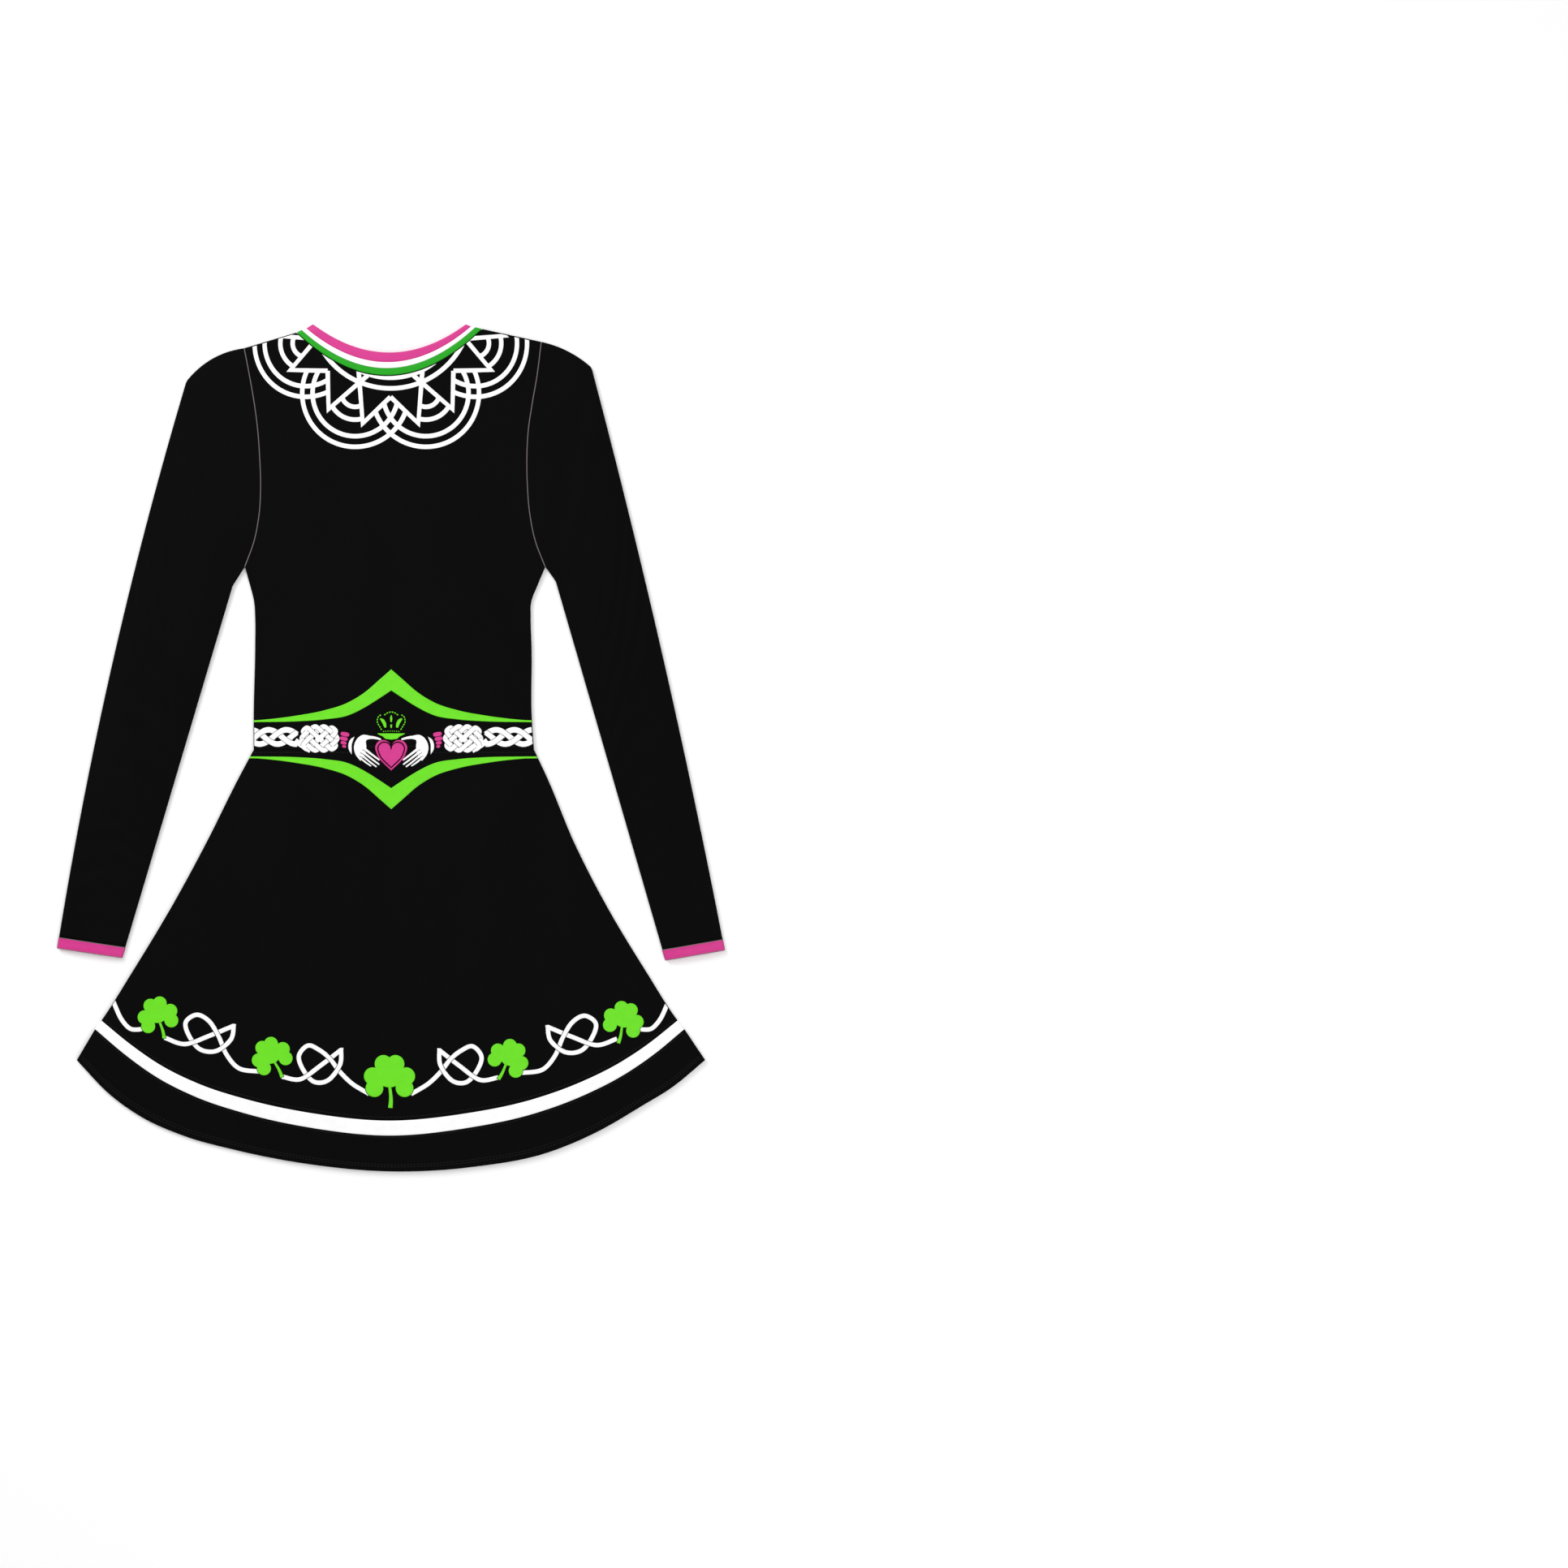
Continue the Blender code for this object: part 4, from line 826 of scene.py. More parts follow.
def tube(name, path, radius, flat):
    """A thin round line of grey thread along a path in space; flat squeezes its height."""
    verts, faces = swept(path, radius, TUBE_SIDES, flat)
    faces.append(tuple(range(TUBE_SIDES)))
    faces.append(tuple(reversed(range(len(verts) - TUBE_SIDES, len(verts)))))
    add_piece(name, verts, faces, "seam_thread")


STITCH_PITCH = 0.0034
STITCH_LENGTH = 0.0025
STITCH_RADIUS = 0.00028
STITCH_SIDES = 6
# Sections of one stitch: share along it, share of its full width
STITCH_SECTIONS = np.array([(0.0, 0.15), (0.12, 0.8), (0.5, 1.0), (0.88, 0.8), (1.0, 0.15)])


def stitches(name, lines, slot):
    """Rows of running stitches along paths in space, all in one piece."""
    verts, faces = [], []
    share, width = STITCH_SECTIONS.T
    for line in lines:
        run = run_of(line)
        count = int(run[-1] / STITCH_PITCH)
        for k in range(count):
            middle = (k + 0.5) * run[-1] / count
            start, end = (at_run(line, run, middle + d * STITCH_LENGTH) for d in (-0.5, 0.5))
            rings, quads = swept(lerp(start, end, share[:, None]), STITCH_RADIUS * width,
                                 STITCH_SIDES)
            faces += [tuple(len(verts) + i for i in quad) for quad in quads]
            verts += rings.tolist()
    add_piece(name, verts, faces, slot)


# Materials: what each piece is made of

def new_material(name, colour, roughness, **values):
    """A new finish and its surface shader."""
    material = bpy.data.materials.new(name)
    material.use_nodes = True
    shader = material.node_tree.nodes["Principled BSDF"]
    shader.inputs["Base Color"].default_value = (*colour, 1.0)
    shader.inputs["Roughness"].default_value = roughness
    for key, value in values.items():
        shader.inputs[key.replace("_", " ")].default_value = value
    return material, shader


def link(material, source, output, target, socket):
    material.node_tree.links.new(source.outputs[output], target.inputs[socket])


def add_node(material, kind, **settings):
    node = material.node_tree.nodes.new("ShaderNode" + kind)
    for key, value in settings.items():
        name = key.replace("_", " ")
        if name in node.inputs:
            node.inputs[name].default_value = value
        else:
            setattr(node, key, value)
    return node


def places(material, **settings):
    """Places on the dress, turned or stretched, that textures are laid by."""
    place = add_node(material, "TexCoord")
    mapping = add_node(material, "Mapping", **settings)
    link(material, place, "Object", mapping, "Vector")
    return mapping


def texture(material, place, kind, scale, **settings):
    node = add_node(material, kind, Scale=scale, **settings)
    link(material, place, "Vector", node, "Vector")
    return node


def add_bump(material, shader, source, strength, distance, below=None, output="Fac"):
    """Raise a surface by a texture, on top of the bump below."""
    bump = add_node(material, "Bump", Strength=strength, Distance=distance)
    link(material, source, output, bump, "Height")
    if below is not None:
        link(material, below, "Normal", bump, "Normal")
    link(material, bump, "Normal", shader, "Normal")
    return bump


def tint(material, shader, colour, source, amount):
    """Vary the base colour between a darker and a lighter shade of it."""
    ramp = add_node(material, "ValToRGB")
    for element, shade in zip(ramp.color_ramp.elements, (1 - amount, 1 + amount)):
        element.color = (*(min(c * shade, 1.0) for c in colour), 1.0)
    link(material, source, "Fac", ramp, "Fac")
    link(material, ramp, "Color", shader, "Base Color")


def velvet(name, colour):
    """Short-pile stretch velvet: dark, soft sheen, brushed in places, with painted sheen in its
    colour there.
    """
    material, shader = new_material(name, colour, 0.75, Specular_IOR_Level=0.05,
                                    Sheen_Weight=0.012, Sheen_Roughness=0.4)
    pile = texture(material, places(material), "TexNoise", 2600.0, Detail=2.0)
    brushed_nap_and_painted_sheen = texture(material, places(material, Scale=(1.0, 0.35, 1.0)), "TexNoise", 16.0,
                      Detail=5.0, Roughness=0.6)
    # Painted sheen: the base colour is painted lighter and darker in the brushed patches, standing
    # in for the nap's sheen; the same noise also gives the nap's real bumps.
    tint(material, shader, colour, brushed_nap_and_painted_sheen, 0.35)
    soft = add_bump(material, shader, brushed_nap_and_painted_sheen, 0.35, 0.002)
    add_bump(material, shader, pile, 0.25, 0.0002, soft)
    return material


def satin(name, colour, angle=0.0, roughness=0.42):
    """Satin-stitched thread: fine parallel lines with a silky gloss."""
    material, shader = new_material(name, colour, roughness, Specular_IOR_Level=0.25,
                                    Sheen_Weight=0.03, Sheen_Roughness=0.3)
    turn = places(material, Rotation=(0.0, 0.0, math.radians(angle)))
    thread = texture(material, turn, "TexWave", 560.0, Distortion=1.2, Detail=2.0,
                     Detail_Scale=0.8)
    uneven = texture(material, turn, "TexNoise", 120.0, Detail=4.0)
    tint(material, shader, colour, uneven, 0.07)
    soft = add_bump(material, shader, uneven, 0.2, 0.0006)
    add_bump(material, shader, thread, 0.35, 0.00012, soft)
    return material


def woven(name, colour, scale=700.0, roughness=0.7):
    """Plain woven tape or ribbon."""
    material, shader = new_material(name, colour, roughness, Specular_IOR_Level=0.3,
                                    Sheen_Weight=0.1)
    place = places(material)
    both = add_node(material, "Math", operation="MULTIPLY")
    for socket, direction in enumerate("XY"):
        thread = texture(material, place, "TexWave", scale, bands_direction=direction)
        link(material, thread, "Fac", both, socket)
    tint(material, shader, colour, texture(material, place, "TexNoise", 90.0, Detail=4.0), 0.08)
    add_bump(material, shader, both, 0.4, 0.00015, output="Value")
    return material


def metal(name, colour):
    """Dark enamelled metal, lightly rubbed."""
    material, shader = new_material(name, colour, 0.32, Metallic=0.85)
    rubbed = texture(material, places(material), "TexNoise", 420.0, Detail=5.0)
    gloss = add_node(material, "MapRange", To_Min=0.24, To_Max=0.42)
    link(material, rubbed, "Fac", gloss, "Value")
    link(material, gloss, "Result", shader, "Roughness")
    tint(material, shader, colour, rubbed, 0.2)
    return material


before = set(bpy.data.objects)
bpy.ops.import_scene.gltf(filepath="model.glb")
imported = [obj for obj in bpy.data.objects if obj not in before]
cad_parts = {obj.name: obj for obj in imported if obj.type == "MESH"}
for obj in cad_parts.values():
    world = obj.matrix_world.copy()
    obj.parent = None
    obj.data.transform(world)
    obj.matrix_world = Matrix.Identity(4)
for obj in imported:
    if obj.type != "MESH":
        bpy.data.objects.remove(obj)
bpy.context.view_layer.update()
MATERIALS = {
    "black_cloth": velvet("black_velvet", BLACK),
    "white_satin": satin("white_thread", WHITE, angle=12.0),
    "pink_satin": satin("pink_thread", PINK),
    "green_satin": satin("green_thread", GREEN),
    "lime_satin": satin("lime_thread", LIME, angle=40.0),
    "zip_tape": woven("zip_tape_weave", GREY),
    "zip_coil": woven("zip_coil_plastic", GREY, scale=300.0, roughness=0.45),
    "zip_metal": metal("zip_enamel", ENAMEL),
    "black_thread": satin("black_sewing_thread", THREAD_BLACK, roughness=0.6),
    "seam_thread": satin("grey_seam_thread", SEAM_GREY, roughness=0.6),
}


# Body panels

# Rough width and height of a panel, for the insets of its edges
BODY_SIZE = (0.29, 0.41)
# Skirt panels: name, kind, points, columns, rows, slot, rough size
SKIRT_PANELS = [
    ("skirt", "cloth", skirt_panel_point, 130, 80, "black_cloth", (0.45, 0.28)),
    ("hem_stripe", "satin", hem_stripe_point, 150, 6, "white_satin", (0.60, 0.0155)),
    ("hem_border", "cloth", hem_border_point, 150, 12, "black_cloth", (0.62, 0.037)),
]


def add_body():
    for side, face in (("front", front_top), ("back", back_face)):
        for name, kind, place, columns, rows, slot, size in SKIRT_PANELS:
            panel(f"{name}_{side}_{kind}", place, columns, rows, slot, face, size)
    panel("bodice_front_cloth", bodice_point, 100, 110, "black_cloth", front_top, BODY_SIZE,
          grooves=(1, 0))
    panel("bodice_back_cloth", bodice_point, 101, 111, "black_cloth", back_face, BODY_SIZE,
          grooves=(1, 0), part=parted_at_zip)


def parted_at_zip(plan):
    """The back's points moved to the zip slot's edges, and which of them lie in the slot."""
    x, y = plan[..., 0], plan[..., 1]
    beside = (y > ZIP_BOTTOM_Y) & (np.abs(x) < 2 * ZIP_SLOT)
    sign = np.where(x < 0, -1.0, 1.0)
    x = np.where(beside, sign * np.maximum(np.abs(x), ZIP_SLOT), x)
    return points(x, y), beside & (np.abs(x) <= ZIP_SLOT + TINY)


def band_point(line, start, end, u, v):
    """A point of a neck band: along a stretch of it by u, from its outer edge inwards by v."""
    share = lerp(start, end, u)
    return across_rows(neck_point(line + 1, share), neck_point(line, share), v)


def slot_share(line, x):
    """Share along a neck band where it meets the zip's slot."""
    shares = [(x - NECK_LINES[i][0]) / (NECK_LINES[i][2] - NECK_LINES[i][0])
              for i in (line, line + 1)]
    return min(shares) if x < 0 else max(shares)


def add_neck():
    for line, name in enumerate(NECK_BANDS):
        right_end, left_start = (slot_share(line, x) for x in (-ZIP_SLOT, ZIP_SLOT))
        # Each stretch: name, start, end, columns, rough length, outer face
        stretches = [("front", 0.0, 1.0, 70, 0.18, front_top),
                     ("back_right", 0.0, right_end, 36, 0.09, back_face),
                     ("back_left", left_start, 1.0, 36, 0.09, back_face)]
        for part, start, end, columns, length, face in stretches:
            panel(f"neck_{name}_{part}_band", partial(band_point, line, start, end), columns, 5,
                  f"{name}_satin", face, (length, BAND_WIDTH))


# Sleeves

SLEEVE_ROWS = 170
SLEEVE_SECOND = 0.005  # share of the sleeve where its even rows start
CUFF_ROWS = 6
CUFF_SWELL = 0.0002
SLEEVE_COLUMNS = 26
SLEEVE_UNDER_COLUMNS = 8
# Soft creases of a sleeve: place along it, half length, waves along, waves across, height
SLEEVE_CREASES = [
    (0.14, 0.12, 11.0, 1.3, 0.00045),
    (0.42, 0.10, 17.0, -0.9, 0.00060),
    (0.53, 0.12, 14.0, 1.1, 0.00055),
    (0.84, 0.14, 19.0, 0.7, 0.00035),
]
CREASE_WANDER = (1.1, 7, 5)  # by how much, and how fast across and along
CREASE_FADE = 0.012  # from the sleeve's edges
CREASE_START = 0.03  # share of the sleeve where the creases are whole
LOFT_START = 0.2  # share of the sleeve where its loft is whole
LOFT_END = (0.6, 0.5)  # share where the loft starts to shrink, and what is left
LAG = (0.7, 0.25)  # share where the inner edge starts to lag, and over how much


def armhole_point(side, share, out=ARMHOLE_GAP):
    """A point beside the bodice's armhole edge, from the shoulder to the underarm."""
    y = lerp(SHOULDER_Y[side], UNDERARM_Y, share)
    return points(side_x(y, side) + out * (-1 if side == "right" else 1), y)


def sleeve_edges(side, t):
    """Outer and inner edge of the sleeve at one share of its length."""
    sleeve = SLEEVES[side]
    top, low = armhole_point(side, 0.0), armhole_point(side, 1.0)
    cap, tip, wrist = (np.array(sleeve[key]) for key in ("cap", "tip", "wrist"))
    if t < CAP_SHARE:
        s = t / CAP_SHARE
        outer = lerp(lerp(top, cap, s), lerp(cap, tip, s), s)
    else:
        s = (t - CAP_SHARE) / (1 - CAP_SHARE)
        along = unit(wrist - tip)
        out = left_of(along) * (-1 if side == "right" else 1)
        outer = lerp(tip, wrist, s) + out * sleeve["bow"] * 4 * s * (1 - s)
    corner, wrist_in = np.array(sleeve["corner"]), np.array(sleeve["wrist_in"])
    if t < UNDERARM_SHARE:
        return outer, lerp(low, corner, t / UNDERARM_SHARE)
    inner_run = np.linalg.norm(wrist_in - corner) / (1 - UNDERARM_SHARE)
    lag = ((sleeve_length(side) / inner_run - 1) * (1 - t)
           * smooth_step((t - LAG[0]) / LAG[1]))
    return outer, lerp(corner, wrist_in, (t - lag - UNDERARM_SHARE) / (1 - UNDERARM_SHARE))


def sleeve_face(side, t, share, under=False):
    """Points and heights across the sleeve's upper or lower face at one share of its length."""
    outer, inner = sleeve_edges(side, t)
    width = np.linalg.norm(inner - outer)
    plan = across_rows(outer, inner, share)
    top, low = armhole_point(side, 0.0), armhole_point(side, 1.0)
    bulge = armhole_point(side, share) - across_rows(top, low, share)
    plan = plan + bulge * max(1 - t / CAP_BULGE_FADE, 0.0) ** 2
    inset = np.minimum(share, 1 - share) * width
    edge = round_edge(inset, FOLD_RADIUS)
    if under:
        return plan, MID + (SLEEVE_UNDER - MID) * edge
    shrink = smooth_step((t - LOFT_END[0]) / (1 - LOFT_END[0]))
    ramp = smooth_step(t / LOFT_START) * lerp(1.0, LOFT_END[1], shrink)
    loft = SLEEVE_LOFT * loft_profile(np.abs(2 * share - 1)) * ramp
    amount, across_rate, along_rate = CREASE_WANDER
    wander = amount * np.sin(across_rate * share + along_rate * t)
    waves = sum(h * math.exp(-((t - place) / half) ** 2)
                * np.sin(2 * math.pi * (kt * t + ks * share) + wander)
                for place, half, kt, ks, h in SLEEVE_CREASES)
    fade = smooth_step(inset / CREASE_FADE) * smooth_step(t / CREASE_START)
    base = 2 * CLOTH + GAP + loft + waves * fade
    return plan, MID + (base - MID) * edge


def sleeve_tube(name, side, shares, slot, swell=0.0):
    """A flat tube of cloth over sections: upper face, fold, lower face, fold."""
    plans, heights = [], []
    for t in shares:
        outer, inner = sleeve_edges(side, t)
        width = np.linalg.norm(inner - outer)
        over = spread(width, SLEEVE_COLUMNS)
        under = spread(width, SLEEVE_UNDER_COLUMNS)[::-1][1:-1]
        upper = sleeve_face(side, t, over)
        lower = sleeve_face(side, t, under, under=True)
        swollen = swell * round_edge(np.minimum(over, 1 - over) * width, FOLD_RADIUS)
        plans.append(np.vstack([upper[0], lower[0]]))
        heights.append(np.concatenate([upper[1] + swollen, lower[1]]))
    skin(name, np.array(plans), np.array(heights), slot, flip=side == "right", closed=True)


def sleeve_length(side):
    run = np.array(SLEEVES[side]["wrist"]) - np.array(SLEEVES[side]["tip"])
    return np.linalg.norm(run) / (1 - CAP_SHARE)


def cuff_start(side):
    """Share of the sleeve's length where its cuff begins."""
    return 1 - CUFF_DEPTH / sleeve_length(side)


def add_sleeves():
    for side in SLEEVES:
        cuff_top = cuff_start(side)
        shares = np.concatenate([EDGE_INSETS / sleeve_length(side),
                                 np.linspace(SLEEVE_SECOND, cuff_top, SLEEVE_ROWS)])
        sleeve_tube(f"sleeve_{side}_cloth", side, shares, "black_cloth")
        cuff = lerp(cuff_top, 1.0, spread(CUFF_DEPTH, CUFF_ROWS))
        sleeve_tube(f"cuff_{side}_band", side, cuff, "pink_satin", CUFF_SWELL)


# Ornament outlines

def belt_outline(up):
    """Outline of a belt band; up is 1 for the upper band and -1 for the lower one."""
    off = np.linspace(-BELT_END, BELT_END, BELT_STEPS)
    edges = []
    for column in (2, 1):
        y = BELT_Y + up * (read(BELT_BAND, np.abs(off), column) - BELT_Y)
        right, left = side_x(y, "right") + GAP, side_x(y, "left") - GAP
        x = np.clip(BELT_X + off, right, left)
        x[0], x[-1] = right[0], left[-1]
        edges.append(points(x, y))
    return np.vstack([edges[0], edges[1][::-1]])


def collar_point(radius, angle):
    return arc_path(COLLAR_CENTRE, radius, angle, angle, 1)[0]


def collar_strands():
    strands = []
    for angle in LOBE_ANGLES:
        centre = collar_point(COLLAR_RADIUS, angle)
        for radius, half, segments in LOBE_ARCS:
            strands += strand(arc_path(centre, radius, angle - half, angle + half, segments),
                              COLLAR_STROKE)
        valley = collar_point(STAR_VALLEY, angle)
        for side in (-1, 1):
            gap = collar_point(STAR_GAP_VALLEY, angle + side * STAR_GAP_ANGLE)
            tip = collar_point(STAR_TIP, angle + side * STAR_TIP_ANGLE)
            strands += strand([gap, tip, valley + unit(valley - tip) * STAR_TAIL], COLLAR_STROKE)
    for radius in RING_RADII:
        strands += strand(arc_path(COLLAR_CENTRE, radius, -180.0, 0.0, 60), COLLAR_STROKE)
    return [points(ring[:, 0] * (1 - COLLAR_DRAW_IN * ring[:, 0] ** 2), ring[:, 1])
            for ring in strands]


def collar_clip():
    """The part of the bodice that the collar knot may cover."""
    right_y = np.linspace(SHOULDER_Y["right"] - CLIP_INSET, CLIP_LOW_Y, 24)
    left_y = np.linspace(CLIP_LOW_Y, SHOULDER_Y["left"] - CLIP_INSET, 24)
    neck = neck_point(3, np.linspace(1.0, 0.0, 49)) - (0.0, CLIP_INSET)
    return np.vstack([points(side_x(right_y, "right") + CLIP_INSET, right_y), [CLIP_BOTTOM],
                      points(side_x(left_y, "left") - CLIP_INSET, left_y), neck])


def plait_paths():
    x = np.linspace(*PLAIT_SPAN, 40)
    return [points(BELT_X + x, PLAIT_HEIGHT + PLAIT_SWING
                   * np.sin(2 * math.pi * ((x - PLAIT_START) / PLAIT_PERIOD + phase)))
            for phase in (0.0, 1 / 3, 2 / 3)]


def round_knot_path():
    """One closed strand that runs to and fro across the knot and up and down it."""
    turn = np.linspace(0.0, 2 * math.pi, 241)
    x, y = (np.arcsin(KNOT_BEND * np.sin(count * turn)) / math.asin(KNOT_BEND)
            for count in KNOT_TURNS)
    drawn_x, drawn_y = (np.sqrt(1 - KNOT_ROUNDING * other ** 2) for other in (y, x))
    return points(BELT_X + KNOT_CENTRE[0] + KNOT_SIZE[0] * x * drawn_x,
                  KNOT_CENTRE[1] + KNOT_SIZE[1] * y * drawn_y)


def link_path():
    """The strand that joins the plait to the round knot."""
    joint = [(BELT_X + PLAIT_SPAN[1] - LINK_START, PLAIT_HEIGHT - PLAIT_SWING / 2),
             (BELT_X + LINK_BEND[0], LINK_BEND[1]),
             (BELT_X + KNOT_CENTRE[0] - KNOT_SIZE[0] / 2, KNOT_CENTRE[1] - KNOT_SIZE[1])]
    return smooth_path(joint, 8)


def loop_path(start_x, start_y, end_x, end_y, rise, lift):
    """A looped strand laid from one shamrock to the next; on the left it runs back."""
    start, end = np.array((start_x, start_y)), np.array((end_x, end_y))
    flip = start_x > 0
    if flip:
        start, end = end, start
    along = end - start
    up = left_of(along) * (-1 if flip else 1)
    tail = [(u, v + share * lift) for u, v, share in LOOP_TAIL]
    out, back = (smooth_path([start + along * u + up * v * rise for u, v in knots], 9)
                 for knots in (LOOP_START, LOOP_BACK + tail))
    corner = [lerp(out[-2], out[-1], 0.75), lerp(back[0], back[1], 0.25)]
    ends = [out[0] + (out[0] - out[1]) * VINE_REACH, back[-1] + (back[-1] - back[-2]) * VINE_REACH]
    return np.vstack([ends[:1], out[:-1], corner, back[1:], ends[1:]])


PARALLEL = 1e-14  # steps that turn less than this count as parallel
NEXT_STEPS = 3  # steps of a path that may touch without a crossing


def cross(a, b):
    return a[..., 0] * b[..., 1] - a[..., 1] * b[..., 0]


def crossings(paths):
    """Where paths cross: path, place along it, other path, place along that, point."""
    found = []
    for a, first in enumerate(paths):
        for b in range(a, len(paths)):
            p, r = first[:-1], np.diff(first, axis=0)
            q, s = paths[b][:-1], np.diff(paths[b], axis=0)
            turn = cross(r[:, None], s[None])
            turn = np.where(np.abs(turn) < PARALLEL, PARALLEL, turn)
            apart = q[None] - p[:, None]
            t, u = cross(apart, s[None]) / turn, cross(apart, r[:, None]) / turn
            for i, j in zip(*np.nonzero((t >= 0) & (t < 1) & (u >= 0) & (u < 1))):
                closed_ends = {i, j} & {0} and {i, j} & {len(p) - 1}
                if a == b and (j <= i + NEXT_STEPS or closed_ends):
                    continue
                found.append((a, i + t[i, j], b, j + u[i, j], p[i] + r[i] * t[i, j]))
    return found


def over_parts(paths):
    """At each crossing, the path that passes over, its place there and the point."""
    found = crossings(paths)
    upper = {}
    for k in range(len(paths)):
        stops = sorted((row[2 * part + 1], n, part) for n, row in enumerate(found)
                       for part in (0, 1) if row[2 * part] == k)
        known = [rank + (upper[n] != part) for rank, (_, n, part) in enumerate(stops)
                 if n in upper]
        phase = known[0] % 2 if known else 0
        for rank, (_, n, part) in enumerate(stops):
            upper.setdefault(n, part if rank % 2 == phase else 1 - part)
    return [(*found[n][2 * part:2 * part + 2], found[n][4]) for n, part in upper.items()]


WEAVE_BITE = 0.0001  # how far the dark line cuts into the upper strand
WEAVE_REACH = 0.72
WEAVE_PARTS = 6  # a dark line stays in this part of its path, 1 of 6, on either side


def weave(paths, width, gap=WEAVE_GAP, reach=WEAVE_REACH):
    """Strands, the dark lines beside each strand that passes over, and the lifts there.

    reach is half the length of a dark line, in widths of the strand."""
    strands = [triangle for path in paths for triangle in strand(path, width)]
    holes, lifts = [], []
    for k, place, point in over_parts(paths):
        path = paths[k]
        near = np.linalg.norm(path - point, axis=1) < reach * width + gap
        close = np.abs(np.arange(len(path)) - place) < len(path) / WEAVE_PARTS
        part = np.nonzero(near & close)[0]
        part = slice(max(part[0] - 1, 0), part[-1] + 2)
        aside = left_of(unit(np.gradient(path, axis=0)))[part] * ((width + gap) / 2 - WEAVE_BITE)
        for side in (-1, 1):
            holes += strand(path[part] + side * aside, gap)
        lifts.append((point, path[part], width))
    return strands, holes, lifts


def heart_outline(scale=1.0):
    """Two round shoulders and a point: half an outline, mirrored, shrunk to its middle."""
    radius = HEART_HALF / 2
    centre_y = HEART_TOP_Y - radius
    shoulder = arc_path((radius, centre_y), radius, *HEART_ARC)
    flank = (HEART_HALF * HEART_FLANK, lerp(centre_y, HEART_TIP_Y, 0.5))
    half = np.vstack([shoulder[:-1], smooth_path([shoulder[-1], flank, (0.0, HEART_TIP_Y)], 9)])
    ring = np.vstack([half, half[-2:0:-1] * (-1, 1)])
    middle = np.array((0.0, lerp(HEART_TOP_Y, HEART_TIP_Y, HEART_MIDDLE)))
    return middle + (ring - middle) * scale + (BELT_X, 0.0)


# The hand on the right: palm and wrist strip as closed outlines, thumb and fingers as strands
PALM_BACK = [(-0.0228, 0.0127), (-0.0292, 0.0134), (-0.0352, 0.0094), (-0.0385, 0.0016),
             (-0.0370, -0.0068), (-0.0318, -0.0136)]
PALM_FRONT = [(-0.0318, -0.0136), (-0.0266, -0.0060), (-0.0256, 0.0010), (-0.0260, 0.0068),
              (-0.0228, 0.0127)]
WRIST_BACK = [(-0.0379, 0.0116), (-0.0424, 0.0084), (-0.0443, 0.0030), (-0.0437, -0.0022),
              (-0.0408, -0.0070)]
WRIST_FRONT = [(-0.0408, -0.0070), (-0.0408, -0.0020), (-0.0406, 0.0040), (-0.0379, 0.0116)]
# Thumb and fingers: points, width at the root and at the tip
DIGITS = [
    ([(-0.0280, 0.0094), (-0.0225, 0.0107), (-0.0165, 0.0102), (-0.0112, 0.0088)], 0.0044, 0.0018),
    ([(-0.0275, -0.0012), (-0.0200, -0.0069), (-0.0126, -0.0124)], 0.0028, 0.0017),
    ([(-0.0290, -0.0046), (-0.0208, -0.0110), (-0.0128, -0.0170)], 0.0026, 0.0016),
    ([(-0.0305, -0.0076), (-0.0228, -0.0140), (-0.0156, -0.0194)], 0.0024, 0.0015),
    ([(-0.0320, -0.0104), (-0.0262, -0.0152), (-0.0212, -0.0186)], 0.0022, 0.0014),
]
# Dark creases that run from between the fingers into the palm
PALM_CREASES = [
    [(-0.0190, -0.0096), (-0.0250, -0.0050), (-0.0300, -0.0016)],
    [(-0.0205, -0.0130), (-0.0268, -0.0082), (-0.0318, -0.0050)],
    [(-0.0225, -0.0158), (-0.0285, -0.0110), (-0.0330, -0.0084)],
]
CREASE_WIDTHS = (0.0008, 0.0003)
# Ruffles of the pink cuff on the belt: x, y, half width, half height
RUFFLES = [(-0.0478, 0.0140, 0.0046, 0.0023), (-0.0490, 0.0094, 0.0042, 0.0021),
           (-0.0492, 0.0051, 0.0031, 0.0019), (-0.0486, 0.0014, 0.0021, 0.0015)]
RUFFLE_TILT = -10.0
RUFFLE_ROUNDING = 0.7  # 1 is an oval, less is nearer to a box


def belt_path(knots):
    return smooth_path([(BELT_X + x, y) for x, y in knots], 6)


def hand_shape():
    outlines = [np.vstack([belt_path(back)[:-1], belt_path(front)[:-1]])
                for back, front in ((PALM_BACK, PALM_FRONT), (WRIST_BACK, WRIST_FRONT))]
    for knots, root, tip in DIGITS:
        path = belt_path(knots)
        outlines += strand(path, np.linspace(root, tip, len(path)))
        outlines.append(oval(path[-1], (tip / 2, tip / 2), steps=12))
    holes = []
    for crease in PALM_CREASES:
        path = belt_path(crease)
        holes += strand(path, np.linspace(*CREASE_WIDTHS, len(path)))
    return outlines, holes


def ruffle_shape():
    """Flat-sided ovals one under another."""
    circle = oval((0.0, 0.0), (1.0, 1.0))
    pill = np.sign(circle) * np.abs(circle) ** RUFFLE_ROUNDING
    return [turned(pill * size, RUFFLE_TILT, 1.0, (BELT_X + x, y)) for x, y, *size in RUFFLES]


def mirrored_knots(knots):
    return [(-x, y) for x, y in knots]


